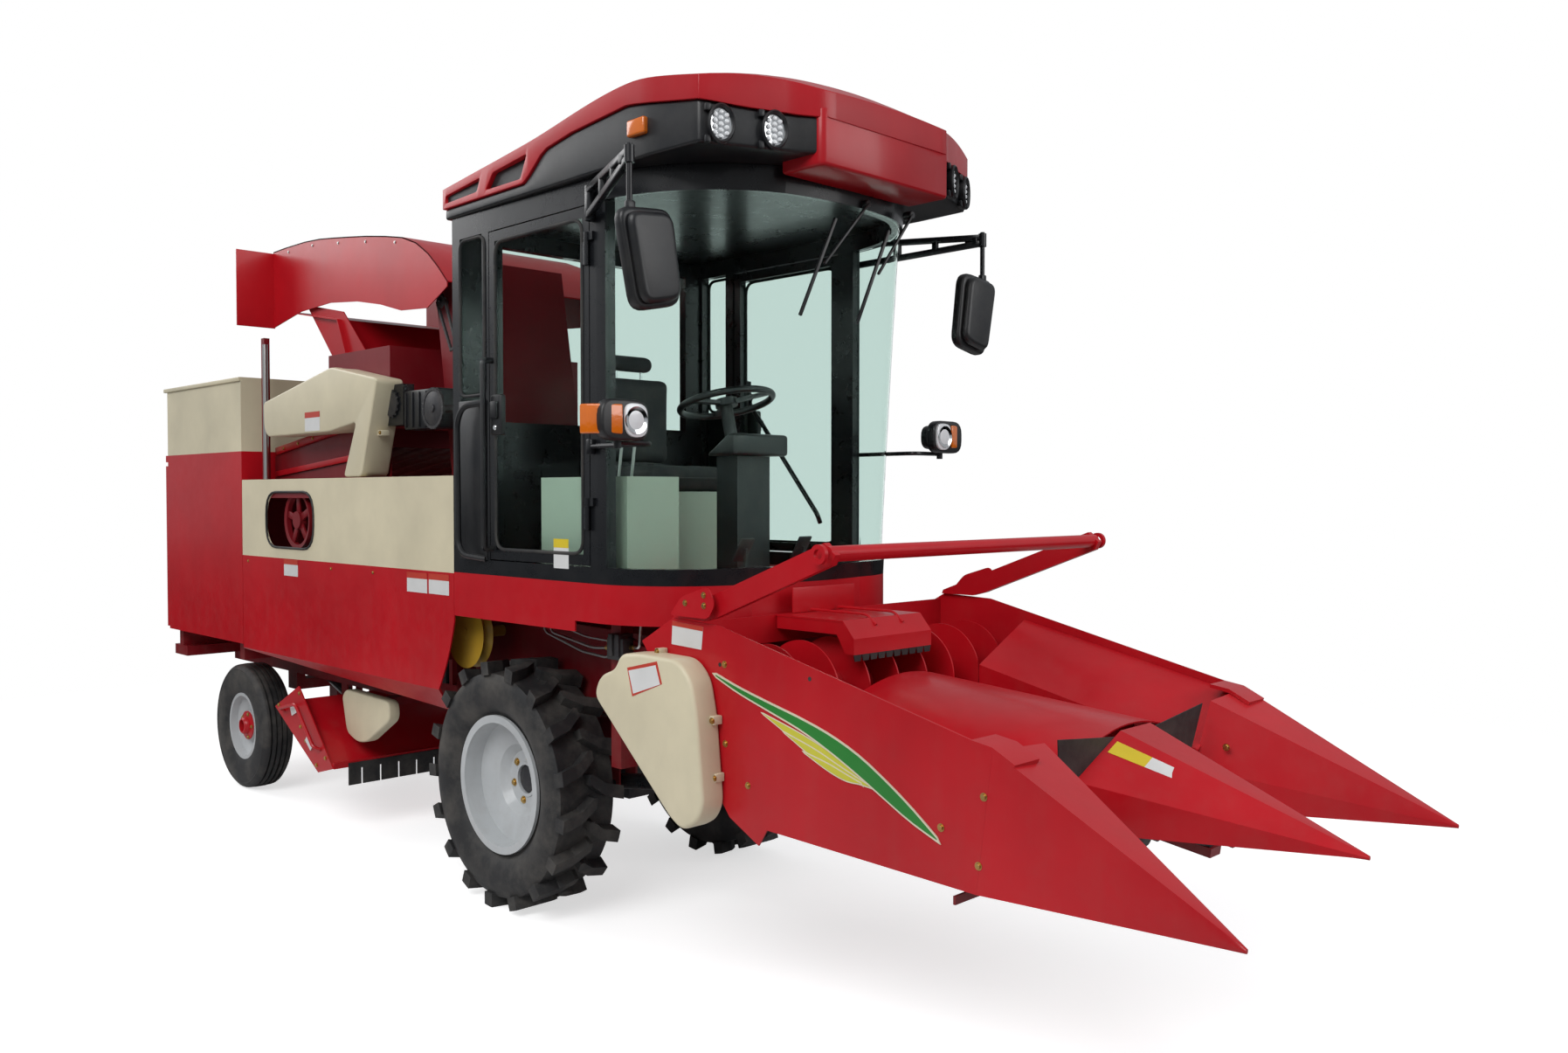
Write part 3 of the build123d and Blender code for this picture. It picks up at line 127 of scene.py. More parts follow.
def sprayed_coat():
    """Sprayed paint on sheet: slight mottling, dust towards the ground, waves and orange peel."""
    tree, start, end = group(
        "sprayed_coat",
        [("Colour", COLOUR, (0.5, 0.02, 0.03, 1)), ("Dust", FLOAT, 0.3), ("Gloss", FLOAT, 0.3),
         ("Waves", FLOAT, 0.4)],
        [("Colour", COLOUR), ("Roughness", FLOAT), ("Normal", VECTOR)])
    place = tree.nodes.new("ShaderNodeTexCoord").outputs["Object"]
    mottle = noise(tree, place, 2.3, 4.0).outputs["Fac"]
    streak_map = tree.nodes.new("ShaderNodeMapping")
    streak_map.inputs["Scale"].default_value = (9, 9, 0.7)
    tree.links.new(place, streak_map.inputs["Vector"])
    streak = noise(tree, streak_map.outputs["Vector"], 1.6, 5.0).outputs["Fac"]
    grime = noise(tree, place, 14.0, 6.0, 0.7).outputs["Fac"]
    split = tree.nodes.new("ShaderNodeSeparateXYZ")
    tree.links.new(place, split.inputs["Vector"])
    low = ramp(tree, split.outputs["Z"], 0.3, 1.5, 1.0, 0.12)
    patch = ramp(tree, maths(tree, "ADD", maths(tree, "MULTIPLY", grime, 0.5),
                             maths(tree, "MULTIPLY", streak, 0.5)), 0.46, 0.72)
    dust = maths(tree, "MULTIPLY", maths(tree, "MULTIPLY", patch, low), start.outputs["Dust"])
    shade = ramp(tree, mottle, 0.3, 0.7, 0.86, 1.06)
    tint = tree.nodes.new("ShaderNodeVectorMath")
    tint.operation = "SCALE"
    tree.links.new(start.outputs["Colour"], tint.inputs[0])
    tree.links.new(shade, tint.inputs["Scale"])
    colour = mixed(tree, dust, tint.outputs[0], DUST_COLOUR)
    tree.links.new(colour, end.inputs["Colour"])
    rough = maths(tree, "ADD", start.outputs["Gloss"], maths(tree, "MULTIPLY", dust, 0.45))
    rough = maths(tree, "ADD", rough, ramp(tree, grime, 0.3, 0.8, -0.03, 0.07))
    tree.links.new(rough, end.inputs["Roughness"])
    wave = noise(tree, place, 1.7, 1.0).outputs["Fac"]
    peel = noise(tree, place, 420.0, 1.0).outputs["Fac"]
    height = maths(tree, "ADD", maths(tree, "MULTIPLY", wave, start.outputs["Waves"]),
                   maths(tree, "MULTIPLY", peel, 0.004))
    tree.links.new(bump(tree, height, 0.35, 0.012), end.inputs["Normal"])
    return tree


def fine_grain():
    """Grain of moulded plastic, rubber or cast metal, with a pale bloom of dust."""
    tree, start, end = group(
        "fine_grain",
        [("Colour", COLOUR, (0.02, 0.02, 0.02, 1)), ("Bloom", FLOAT, 0.3), ("Rough", FLOAT, 0.5),
         ("Grain", FLOAT, 300.0), ("Depth", FLOAT, 0.4)],
        [("Colour", COLOUR), ("Roughness", FLOAT), ("Normal", VECTOR)])
    place = tree.nodes.new("ShaderNodeTexCoord").outputs["Object"]
    cloud = noise(tree, place, 6.0, 6.0, 0.65).outputs["Fac"]
    haze = maths(tree, "MULTIPLY", ramp(tree, cloud, 0.42, 0.72), start.outputs["Bloom"])
    tree.links.new(mixed(tree, haze, start.outputs["Colour"], BLOOM_COLOUR), end.inputs["Colour"])
    tree.links.new(maths(tree, "ADD", start.outputs["Rough"],
                         maths(tree, "MULTIPLY", haze, 0.4)), end.inputs["Roughness"])
    grain = tree.nodes.new("ShaderNodeTexNoise")
    tree.links.new(place, grain.inputs["Vector"])
    tree.links.new(start.outputs["Grain"], grain.inputs["Scale"])
    height = maths(tree, "MULTIPLY", grain.outputs["Fac"], start.outputs["Depth"])
    tree.links.new(bump(tree, height, 0.5, 0.002), end.inputs["Normal"])
    return tree


groups = {"coat": sprayed_coat(), "grain": fine_grain()}


def material(name, kind, settings, metallic=0.0, coat=0.0, specular=0.5):
    """Principled material fed by a shared group."""
    mat = bpy.data.materials.new(name)
    mat.use_nodes = True
    tree = mat.node_tree
    shader = tree.nodes["Principled BSDF"]
    node = tree.nodes.new("ShaderNodeGroup")
    node.node_tree = groups[kind]
    for key, value in settings.items():
        node.inputs[key].default_value = value
    tree.links.new(node.outputs["Colour"], shader.inputs["Base Color"])
    tree.links.new(node.outputs["Roughness"], shader.inputs["Roughness"])
    tree.links.new(node.outputs["Normal"], shader.inputs["Normal"])
    shader.inputs["Metallic"].default_value = metallic
    shader.inputs["Coat Weight"].default_value = coat
    shader.inputs["Coat Roughness"].default_value = 0.12
    shader.inputs["Specular IOR Level"].default_value = specular
    return mat


def coat(name, colour, dust=0.3, gloss=0.3, waves=0.4, clear=0.25):
    """Sprayed paint material."""
    return material(name, "coat", {"Colour": (*colour, 1), "Dust": dust, "Gloss": gloss,
                                   "Waves": waves}, coat=clear, specular=0.32)


def grained(name, colour, bloom=0.2, rough=0.5, grain=300.0, depth=0.4, metallic=0.0,
            specular=0.5):
    """Plastic, rubber, cast or brushed metal material."""
    return material(name, "grain", {"Colour": (*colour, 1), "Bloom": bloom, "Rough": rough,
                                    "Grain": grain, "Depth": depth}, metallic, 0.0, specular)


def tinted_glass(name, colour):
    """Tinted cab glass."""
    mat = bpy.data.materials.new(name)
    mat.use_nodes = True
    shader = mat.node_tree.nodes["Principled BSDF"]
    shader.inputs["Base Color"].default_value = (*colour, 1)
    shader.inputs["Roughness"].default_value = 0.02
    shader.inputs["Metallic"].default_value = 0.0
    shader.inputs["Transmission Weight"].default_value = 1.0
    shader.inputs["IOR"].default_value = 1.02
    shader.inputs["Specular IOR Level"].default_value = 0.5
    return mat


def lens(name, colour):
    """Moulded lamp lens with fine flutes under a clear coat."""
    mat = grained(name, colour, bloom=0.0, rough=0.08, grain=90.0, depth=0.8, specular=0.6)
    mat.node_tree.nodes["Principled BSDF"].inputs["Coat Weight"].default_value = 0.6
    return mat


# colour, dust, gloss, waves, clear coat
COATS = {
    "red_paint": ((0.5, 0.006, 0.013), 0.12, 0.32, 0.4, 0.1),
    # dark_red_paint is red_paint at its shaded-side value: painted shade for red parts that sit in shade
    "dark_red_paint": ((0.2, 0.006, 0.011), 0.3, 0.42, 0.3, 0.1),
    "beige_paint": ((0.7, 0.63, 0.45), 0.1, 0.42, 0.3, 0.1),
    "black_paint": ((0.009, 0.01, 0.012), 0.1, 0.28, 0.2, 0.2),
    "rim_silver": ((0.5, 0.52, 0.53), 0.2, 0.35, 0.1),
    "yellow_paint": ((0.5, 0.3, 0.03), 0.3, 0.45),
    "roof_red": ((0.44, 0.007, 0.014), 0.05, 0.32, 0.15, 0.12),
    "label_white": ((0.74, 0.74, 0.73), 0.1, 0.4, 0.1),
    "label_red": ((0.55, 0.05, 0.03), 0.1, 0.4, 0.1),
    "label_yellow": ((0.72, 0.55, 0.03), 0.1, 0.4, 0.1),
    "stripe_green": ((0.02, 0.22, 0.03), 0.08, 0.35, 0.3),
    "stripe_yellow": ((0.62, 0.58, 0.05), 0.08, 0.35, 0.3),
    "stripe_cream": ((0.72, 0.66, 0.5), 0.08, 0.35, 0.3),
}
# colour, bloom, roughness, grain, depth, metallic
GRAINS = {
    "steel": ((0.55, 0.55, 0.54), 0.1, 0.3, 200, 0.2, 1.0),
    "iron": ((0.05, 0.05, 0.055), 0.25, 0.5, 120, 0.6, 0.6),
    "tyre_rubber": ((0.014, 0.014, 0.015), 0.22, 0.6, 260, 0.6),
    "rubber": ((0.01, 0.01, 0.011), 0.15, 0.6, 260, 0.5),
    "black_plastic": ((0.008, 0.009, 0.011), 0.05, 0.38, 500, 0.3),
    "grey_trim": ((0.36, 0.4, 0.33), 0.1, 0.5, 300, 0.3),
    "seat_cloth": ((0.02, 0.02, 0.023), 0.1, 0.85, 240, 0.8),
    "brass": ((0.55, 0.36, 0.12), 0.1, 0.32, 240, 0.3, 1.0),
    "chrome": ((0.75, 0.76, 0.77), 0.0, 0.12, 200, 0.05, 1.0),
}
finish = {name: coat(name, *values) for name, values in COATS.items()}
finish |= {name: grained(name, *values) for name, values in GRAINS.items()}
finish["lamp_clear"] = lens("lamp_clear", (0.8, 0.82, 0.84))
finish["cab_glass"] = tinted_glass("cab_glass", (0.72, 0.82, 0.79))
finish["amber"] = lens("amber", (0.72, 0.16, 0.01))
slots = {part["node"]: part["material_slot"] for part in frame["record"]["subparts"]}
for name, node in nodes.items():
    node.data.materials.clear()
    node.data.materials.append(finish[slots[name]])


# ---- modelling steps
def only(obj):
    """Select this object alone and make it active."""
    bpy.ops.object.select_all(action="DESELECT")
    obj.select_set(True)
    bpy.context.view_layer.objects.active = obj
    return obj


def settled():
    """Write the active object's place, turn and size into its mesh."""
    obj = only(bpy.context.object)
    bpy.ops.object.transform_apply(location=True, rotation=True, scale=True)
    return obj


def modified(obj, kind, **settings):
    """Add one modifier and apply it."""
    only(obj)
    step = obj.modifiers.new("step", kind)
    for key, value in settings.items():
        setattr(step, key, value)
    bpy.ops.object.modifier_apply(modifier="step")
    return obj


def softened(obj, width, steps=2, angle=40):
    """Round the sharp edges."""
    return modified(obj, "BEVEL", width=width, segments=steps, limit_method="ANGLE",
                    angle_limit=math.radians(angle))


def fresh(add_shape, **settings):
    """New primitive, alone in the selection."""
    bpy.ops.object.select_all(action="DESELECT")
    add_shape(**settings)
    return bpy.context.object


def put(obj, places):
    """Move an object's vertices to these places, in order."""
    for vertex, place in zip(obj.data.vertices, places):
        vertex.co = place
    return obj


def add_box(low, high, round_by=0.0, steps=2):
    """Box between two corners."""
    low, high = Vector(low), Vector(high)
    box = fresh(bpy.ops.mesh.primitive_cube_add, size=1, location=(low + high) / 2)
    box.scale = high - low
    obj = settled()
    return softened(obj, round_by, steps) if round_by else obj


def add_rod(start, end, radius, sides=16, round_by=0.0):
    """Round bar between two points."""
    start, end = Vector(start), Vector(end)
    fresh(bpy.ops.mesh.primitive_cylinder_add, vertices=sides, radius=radius,
          depth=(end - start).length, location=(start + end) / 2,
          rotation=(end - start).to_track_quat("Z", "Y").to_euler())
    obj = settled()
    return softened(obj, round_by, 1) if round_by else obj


def add_bar(start, end, width, height, round_by=0.0):
    """Flat bar between two points; width is level, height is across it."""
    start, end = Vector(start), Vector(end)
    bar = fresh(bpy.ops.mesh.primitive_cube_add, size=1, location=(start + end) / 2)
    bar.scale = ((end - start).length, width, height)
    bar.rotation_euler = (end - start).to_track_quat("X", "Z").to_euler()
    obj = settled()
    return softened(obj, round_by) if round_by else obj


def outward():
    """Turn the active mesh's faces outwards; called in edit mode."""
    bpy.ops.mesh.select_all(action="SELECT")
    bpy.ops.mesh.normals_make_consistent(inside=False)
    bpy.ops.object.mode_set(mode="OBJECT")


def plate(points, axis, level, depth, round_by=0.0, steps=2):
    """Outline across an axis at this level, pushed along the axis by a depth."""
    obj = fresh(bpy.ops.mesh.primitive_circle_add, vertices=len(points), fill_type="NGON")
    put(obj, [{"x": (level, a, b), "y": (a, level, b), "z": (a, b, level)}[axis]
              for a, b in points])
    push = {"x": (depth, 0, 0), "y": (0, depth, 0), "z": (0, 0, depth)}[axis]
    bpy.ops.object.mode_set(mode="EDIT")
    bpy.ops.mesh.select_all(action="SELECT")
    bpy.ops.mesh.extrude_region_move(TRANSFORM_OT_translate={"value": push})
    outward()
    return softened(obj, round_by, steps) if round_by else obj


CORNER_STEPS = 5


def rounded(points, radius):
    """Outline with its corners rounded."""
    made = []
    count = len(points)
    for index, corner in enumerate(points):
        here = Vector(corner)
        before, after = Vector(points[index - 1]), Vector(points[(index + 1) % count])
        reach = min(radius, (before - here).length * 0.45, (after - here).length * 0.45)
        start = here + (before - here).normalized() * reach
        end = here + (after - here).normalized() * reach
        for step in range(CORNER_STEPS + 1):
            t = step / CORNER_STEPS
            made.append(tuple(start * (1 - t) ** 2 + here * 2 * t * (1 - t) + end * t ** 2))
    return made


def turned(profile, centre, axis, steps=32):
    """Closed profile of (radius, offset) spun about an axis through a centre."""
    centre, axis = Vector(centre), Vector(axis).normalized()
    away = axis.orthogonal().normalized()
    obj = fresh(bpy.ops.mesh.primitive_circle_add, vertices=len(profile), fill_type="NOTHING")
    put(obj, [centre + away * radius + axis * offset for radius, offset in profile])
    bpy.ops.object.mode_set(mode="EDIT")
    bpy.ops.mesh.select_all(action="SELECT")
    bpy.ops.mesh.spin(steps=steps, angle=2 * math.pi, center=centre, axis=axis)
    bpy.ops.mesh.select_all(action="SELECT")
    bpy.ops.mesh.remove_doubles(threshold=0.0001)
    outward()
    return obj


def tube(points, radius, bend=0.03, closed=False):
    """Bent pipe through points."""
    path = rounded(points, bend)
    if not closed:
        path = [points[0], *path[CORNER_STEPS + 1:-CORNER_STEPS - 1], points[-1]]
    data = bpy.data.curves.new("pipe", "CURVE")
    data.dimensions = "3D"
    data.bevel_depth = radius
    data.bevel_resolution = 3
    data.use_fill_caps = True
    line = data.splines.new("POLY")
    line.points.add(len(path) - 1)
    for point, place in zip(line.points, path):
        point.co = (*place, 1)
    line.use_cyclic_u = closed
    obj = bpy.data.objects.new("pipe", data)
    scene.collection.objects.link(obj)
    only(obj)
    bpy.ops.object.convert(target="MESH")
    return bpy.context.object


def skin(rows, thickness):
    """Sheet through rows of points, thickened."""
    obj = fresh(bpy.ops.mesh.primitive_grid_add, x_subdivisions=len(rows[0]) - 1,
                y_subdivisions=len(rows) - 1)
    put(obj, [place for row in rows for place in row])
    bpy.ops.object.mode_set(mode="EDIT")
    outward()
    return modified(obj, "SOLIDIFY", thickness=thickness, offset=0.0)


def copies(template, places):
    """Copies of a template, each with its own mesh, at these matrices."""
    made = []
    for place in places:
        twin = template.copy()
        twin.data = template.data.copy()
        twin.data.transform(place)
        scene.collection.objects.link(twin)
        made.append(twin)
    bpy.data.objects.remove(template)
    return made


def facing(place, direction, spin=0.0):
    """Matrix that puts a template's +Z along a direction at a place."""
    turn = Vector(direction).to_track_quat("Z", "Y").to_matrix().to_4x4()
    return Matrix.Translation(place) @ turn @ Matrix.Rotation(spin, 4, "Z")


def joined(parts):
    """One mesh out of several."""
    only(parts[0])
    for part in parts:
        part.select_set(True)
    if len(parts) > 1:
        bpy.ops.object.join()
    return bpy.context.object


def piece(name, body, look, parts, replaces=(), angle=35):
    """Finished piece: joined, named, coated and riding on its body."""
    obj = joined(parts)
    obj.name = name
    obj.data.name = name
    obj.data.materials.clear()
    obj.data.materials.append(finish[look])
    bpy.ops.object.shade_smooth_by_angle(angle=math.radians(angle))
    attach(obj, body)
    if replaces:
        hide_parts(*replaces)
    return obj


def bolts(places, direction, size=0.009):
    """Hexagon heads on washers, facing one way."""
    head = add_rod((0, 0, 0), (0, 0, size * 0.75), size, 6, size * 0.12)
    washer = add_rod((0, 0, -0.001), (0, 0, size * 0.16), size * 1.35, 16)
    return copies(joined([head, washer]), [facing(place, direction, index)
                                           for index, place in enumerate(places)])


def along(table, x):
    """Smooth value at x through rows of (x, value)."""
    if x <= table[0][0]:
        return table[0][1]
    for index in range(len(table) - 1):
        (x0, v0), (x1, v1) = table[index], table[index + 1]
        if x <= x1:
            before, after = table[max(index - 1, 0)], table[min(index + 2, len(table) - 1)]
            slope0 = (v1 - before[1]) / (x1 - before[0])
            slope1 = (after[1] - v0) / (after[0] - x0)
            width = x1 - x0
            t = (x - x0) / width
            return (v0 * (1 + 2 * t) * (1 - t) ** 2 + v1 * t * t * (3 - 2 * t)
                    + slope0 * width * t * (1 - t) ** 2 - slope1 * width * t * t * (1 - t))
    return table[-1][1]


def straight(table, x):
    """Value at x on straight lines through rows of (x, value)."""
    for (x0, v0), (x1, v1) in zip(table, table[1:]):
        if x <= x1:
            return v0 + (v1 - v0) * max(x - x0, 0) / (x1 - x0)
    return table[-1][1]


def oblong(low, high):
    """Outline of a rectangle between two corners."""
    return [low, (high[0], low[1]), high, (low[0], high[1])]


def at_y(points, y):
    """Places at this y for points of (x, z)."""
    return [(x, y, z) for x, z in points]


def on_side(side, points):
    """Points that end in y and z, given for the left, put on this side."""
    return [(*point[:-2], side * point[-2], point[-1]) for point in points]


def side_box(side, low, high, round_by=0.0, steps=2):
    """Box whose corners are given for the left, put on this side."""
    (x0, y0, z0), (x1, y1, z1) = low, high
    lowest, highest = sorted((side * y0, side * y1))
    return add_box((x0, lowest, z0), (x1, highest, z1), round_by, steps)


def around(centre, radius, count, start=0.0):
    """Places evenly round a circle that lies across y."""
    x, y, z = centre
    turns = [start + index * math.tau / count for index in range(count)]
    return [Vector((x + radius * math.cos(turn), y, z + radius * math.sin(turn)))
            for turn in turns]


def disc(radius, half, centre):
    """Flat disc across y, this thick each way from its centre."""
    return turned([(0.0, -half), (radius, -half), (radius, half), (0.0, half)], centre, (0, 1, 0))


def sprocket(radius, centre, steps=32):
    """Thin chain wheel with a sharp rim, across y."""
    half, rim = 0.004, radius - 0.006
    return turned([(0.0, -half), (rim, -half), (radius, 0.0), (rim, half), (0.0, half)], centre,
                  (0, 1, 0), steps)


def chain_line(stops, pitch):
    """Links along a closed run of points across y."""
    links = joined([add_box((-pitch * 0.48, -0.006, -0.005), (pitch * 0.48, 0.006, 0.005)),
                    add_rod((-pitch * 0.5, -0.008, 0), (-pitch * 0.5, 0.008, 0), 0.006, 8)])
    spots = []
    for start, end in zip(stops, stops[1:] + stops[:1]):
        start, end = Vector(start), Vector(end)
        number = max(1, round((end - start).length / pitch))
        turn = (end - start).to_track_quat("X", "Y").to_matrix().to_4x4()
        spots += [Matrix.Translation(start.lerp(end, (step + 0.5) / number)) @ turn
                  for step in range(number)]
    return copies(links, spots)


# ---- driving places
SIDES = (-1, 1)
HANDS = {-1: "right", 1: "left"}
RIGHTWARD, UPWARD, CENTRE = (0, -1, 0), (0, 0, 1), (0, 0, 0)
BODY_SIDE = round(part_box("cab_base")[1][1], 3)  # outer face of the cab and the body panels
HEADER_SIDE = round(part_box("header_frame")[1][1], 3)  # outer face of the header's side panels
GUARD_SIDE = HEADER_SIDE + 0.1  # outer face of the header's belt guard
SHEET = 0.005  # thickness of pressed sheet
FILM = 0.0002  # a label's gap from the face under it
pivots = {joint["child"]: Vector(joint["pos_m"]) for joint in frame["joints"]
          if joint["type"] == "hinge"}

# ---- roof
ROOF_REAR, ROOF_LENGTH, ROOF_HALF = -0.04, 1.64, 0.735
side_line = [(ROOF_REAR, 0.72), (1.35, 0.75), (1.6, 0.735)]
nose_line = [(0.0, 1.8), (0.33, 1.8), (0.4, 1.74), (0.735, 1.6)]
eaves = [(ROOF_REAR, 2.96), (0.6, 3.012), (1.24, 3.091), (1.6, 3.04), (1.8, 2.995)]
crown = [(ROOF_REAR, 3.01), (0.6, 3.14), (1.24, 3.221), (1.6, 3.16), (1.8, 3.06)]
split_line = [(ROOF_REAR, 2.886), (0.585, 2.886), (0.72, 2.985), (0.903, 3.012), (1.24, 3.035),
              (1.527, 2.99), (1.66, 2.97), (1.743, 2.965), (1.8, 2.96)]
vent_outlines = (((-0.015, 2.938), (0.262, 2.965), (0.236, 2.914), (-0.015, 2.908)),
                 ((0.36, 2.968), (0.606, 2.992), (0.56, 2.906), (0.304, 2.908)))


def roof_body(inset, top, low):
    """Closed body over the roof's plan between two height functions."""
    obj = fresh(bpy.ops.mesh.primitive_grid_add, x_subdivisions=40, y_subdivisions=36)
    for vertex in obj.data.vertices:
        u, v = vertex.co.x / 2 + 0.5, vertex.co.y
        front = straight(nose_line, abs(v) * ROOF_HALF)
        x = ROOF_REAR + inset + u * (front - ROOF_REAR - 2 * inset)
        y = v * (straight(side_line, ROOF_REAR + u * ROOF_LENGTH) - inset)
        vertex.co = (x, y, top(x, y))
    bpy.ops.object.mode_set(mode="EDIT")
    bpy.ops.mesh.select_all(action="SELECT")
    bpy.ops.mesh.extrude_region_move(TRANSFORM_OT_translate={"value": (0, 0, -0.01)})
    bpy.ops.object.mode_set(mode="OBJECT")
    for vertex in obj.data.vertices:
        if vertex.select:
            vertex.co.z = low(vertex.co.x, vertex.co.y)
    bpy.ops.object.mode_set(mode="EDIT")
    outward()
    return obj


def roof_height(x, y):
    """Height of the roof's outer face."""
    return along(eaves, x) + (along(crown, x) - along(eaves, x)) * (1 - (y / 0.8) ** 2)


def roof_split(x, _):
    """Height where the red shell meets the dark band; the same all across."""
    return straight(split_line, x)


shell = roof_body(0.0, roof_height, roof_split)
vents = []
for outline in vent_outlines:
    for side in SIDES:
        cutter = plate(rounded(outline, 0.012), "y", side * 0.706, side * 0.1)
        modified(shell, "BOOLEAN", operation="DIFFERENCE", object=cutter, solver="EXACT")
        bpy.data.objects.remove(cutter)
        vents.append(plate(rounded(outline, 0.012), "y", side * 0.704, side * 0.004))
softened(shell, 0.022, 4, 50)
visor = plate([(1.6, -0.352), (1.782, -0.352), (1.797, -0.332), (1.797, 0.332), (1.782, 0.352),
               (1.6, 0.352)], "z", 2.8, 0.2, 0.012, 3)
piece("roof_top", "machine", "roof_red", [shell, visor], ("roof_shell",), 45)
core = roof_body(0.008, lambda x, y: roof_split(x, y) - 0.0005, lambda x, y: 2.842)
piece("roof_dark_band", "machine", "black_plastic", [softened(core, 0.01, 3, 50), *vents],
      ("roof_fascia",), 45)

# ---- roof lamps
CORNER_TURN = math.radians(22.7)
lamp_places = [facing((x, side * y, 2.903),
                      (math.cos(CORNER_TURN), side * math.sin(CORNER_TURN), 0))
               for x, y in ((1.702, 0.49), (1.629, 0.665)) for side in SIDES]


def oval(profile):
    """Turned template, squashed and laid with its long way level."""
    obj = turned(profile, CENTRE, UPWARD, 36)
    obj.data.transform(Matrix.Diagonal((1.0, 0.72, 1, 1)))
    obj.data.transform(Matrix.Rotation(math.radians(90), 4, "Z"))
    return obj


bezel = oval([(0.06, -0.02), (0.066, 0.0), (0.066, 0.014), (0.06, 0.02), (0.052, 0.012),
              (0.052, -0.02)])
lugs = [add_box((-0.056, y - 0.012, -0.01), (-0.036, y + 0.012, 0.008), 0.003)
        for y in (-0.052, 0.052)]
piece("roof_lamp_rims", "machine", "black_plastic", copies(joined([bezel, *lugs]), lamp_places),
      ("roof_lamps",))
piece("roof_lamp_bowls", "machine", "chrome",
      copies(oval([(0.0, 0.0), (0.053, 0.004), (0.053, 0.0), (0.0, -0.004)]), lamp_places))
diode = [(0.0, 0.0), (0.0085, 0.0), (0.0085, 0.004), (0.006, 0.008), (0.0, 0.01)]
dots = [turned(diode, (row * 0.021, (index - (count - 1) / 2) * 0.02, 0.002), UPWARD, 12)
        for row, count in ((-1, 4), (0, 5), (1, 4)) for index in range(count)]
piece("roof_lamp_diodes", "machine", "lamp_clear", copies(joined(dots), lamp_places))
piece("side_markers", "machine", "amber",
      [side_box(side, (1.253, 0.736, 2.916), (1.347, 0.762, 2.974), 0.008, 3)
       for side in SIDES])

# ---- mirrors
arms, heads, glasses = [], [], []
for side in SIDES:
    root, end = Vector((0.98, side * 0.719, 0)), Vector((1.517, side * 0.957, 0))
    up = Vector(UPWARD)
    arms.append(side_box(side, (0.968, BODY_SIDE, 2.68), (0.998, 0.73, 2.81), 0.005))
    arms.append(add_bar(root + up * 2.793, end + up * 2.784, 0.024, 0.026, 0.005))
    arms.append(add_bar(root + up * 2.7, end + up * 2.76, 0.024, 0.026, 0.005))
    for near, width in ((0.02, 0.03), (0.37, 0.026), (0.65, 0.026), (0.92, 0.06)):
        foot = root.lerp(end, near)
        low, high = 2.697 + 0.063 * near, 2.795 - 0.011 * near
        arms.append(add_bar(foot + up * low, foot + up * high, 0.018, width, 0.003))
    arms.append(add_rod(end + up * 2.56, end + up * 2.806, 0.01))
    arms.append(add_rod(end + up * 2.745, end + up * 2.8, 0.017))
    rim = on_side(side, [(0.795, 2.62), (1.018, 2.598), (0.95, 2.271), (0.752, 2.312)])
    inner = on_side(side, [(0.812, 2.602), (0.998, 2.584), (0.936, 2.29), (0.77, 2.326)])
    heads.append(plate(rounded(rim, 0.055), "x", 1.496, 0.044, 0.014, 3))
    heads.append(plate(rounded(inner, 0.05), "x", 1.53, 0.04, 0.022, 4))
    heads.append(side_box(side, (1.506, 0.94, 2.585), (1.53, 0.972, 2.625), 0.006))
    glasses.append(plate(rounded(inner, 0.05), "x", 1.4935, 0.004))
piece("mirror_arms", "machine", "black_paint", arms, ("mirrors",))
piece("mirror_heads", "machine", "black_plastic", heads)
piece("mirror_glasses", "machine", "chrome", glasses)

# ---- work lamps
stands, cases, clear, orange, bowls = [], [], [], [], []
for side in SIDES:
    stands.append(side_box(side, (0.968, BODY_SIDE, 1.835), (0.994, 0.726, 1.89), 0.004))
    stands.append(tube(on_side(side, [(0.985, 0.716, 1.863), (1.34, 0.716, 1.863),
                                      (1.352, 0.88, 1.863), (1.352, 0.88, 1.885)]), 0.009, 0.04))
    stands.append(add_rod((1.352, side * 0.88, 1.842), (1.352, side * 0.88, 1.88), 0.013))
    case = on_side(side, [(0.78, 1.866), (0.78, 2.004), (0.98, 2.004), (0.98, 1.866)])
    back = on_side(side, [(0.8, 1.884), (0.8, 1.986), (0.95, 1.986), (0.95, 1.884)])
    face = on_side(side, [(0.792, 1.878), (0.792, 1.992), (0.893, 1.992), (0.884, 1.878)])
    corner = [(1.408, 0.896), (1.398, 0.952), (1.352, 1.0), (1.318, 1.012), (1.312, 0.995),
              (1.34, 0.978), (1.38, 0.935), (1.384, 0.896)]
    cases.append(plate(rounded(case, 0.055), "x", 1.355, 0.045, 0.01, 3))
    cases.append(plate(rounded(back, 0.045), "x", 1.306, 0.055, 0.012, 3))
    clear.append(plate(rounded(face, 0.042), "x", 1.392, 0.016, 0.006, 2))
    orange.append(plate(rounded([(x, side * y) for x, y in corner], 0.01), "z", 1.888, 0.098,
                        0.012, 3))
    bowls.append(turned([(0.0, 0.0), (0.04, 0.01), (0.046, 0.012), (0.046, 0.006), (0.0, -0.004)],
                        (1.4, side * 0.843, 1.935), (1, 0, 0), 28))
piece("work_lamp_stands", "machine", "black_paint", stands, ("work_lamps",))
piece("work_lamp_cases", "machine", "black_plastic", cases)
piece("work_lamp_lenses", "machine", "lamp_clear", clear)
piece("turn_lamp_lenses", "machine", "amber", orange)
piece("work_lamp_bowls", "machine", "chrome", bowls)

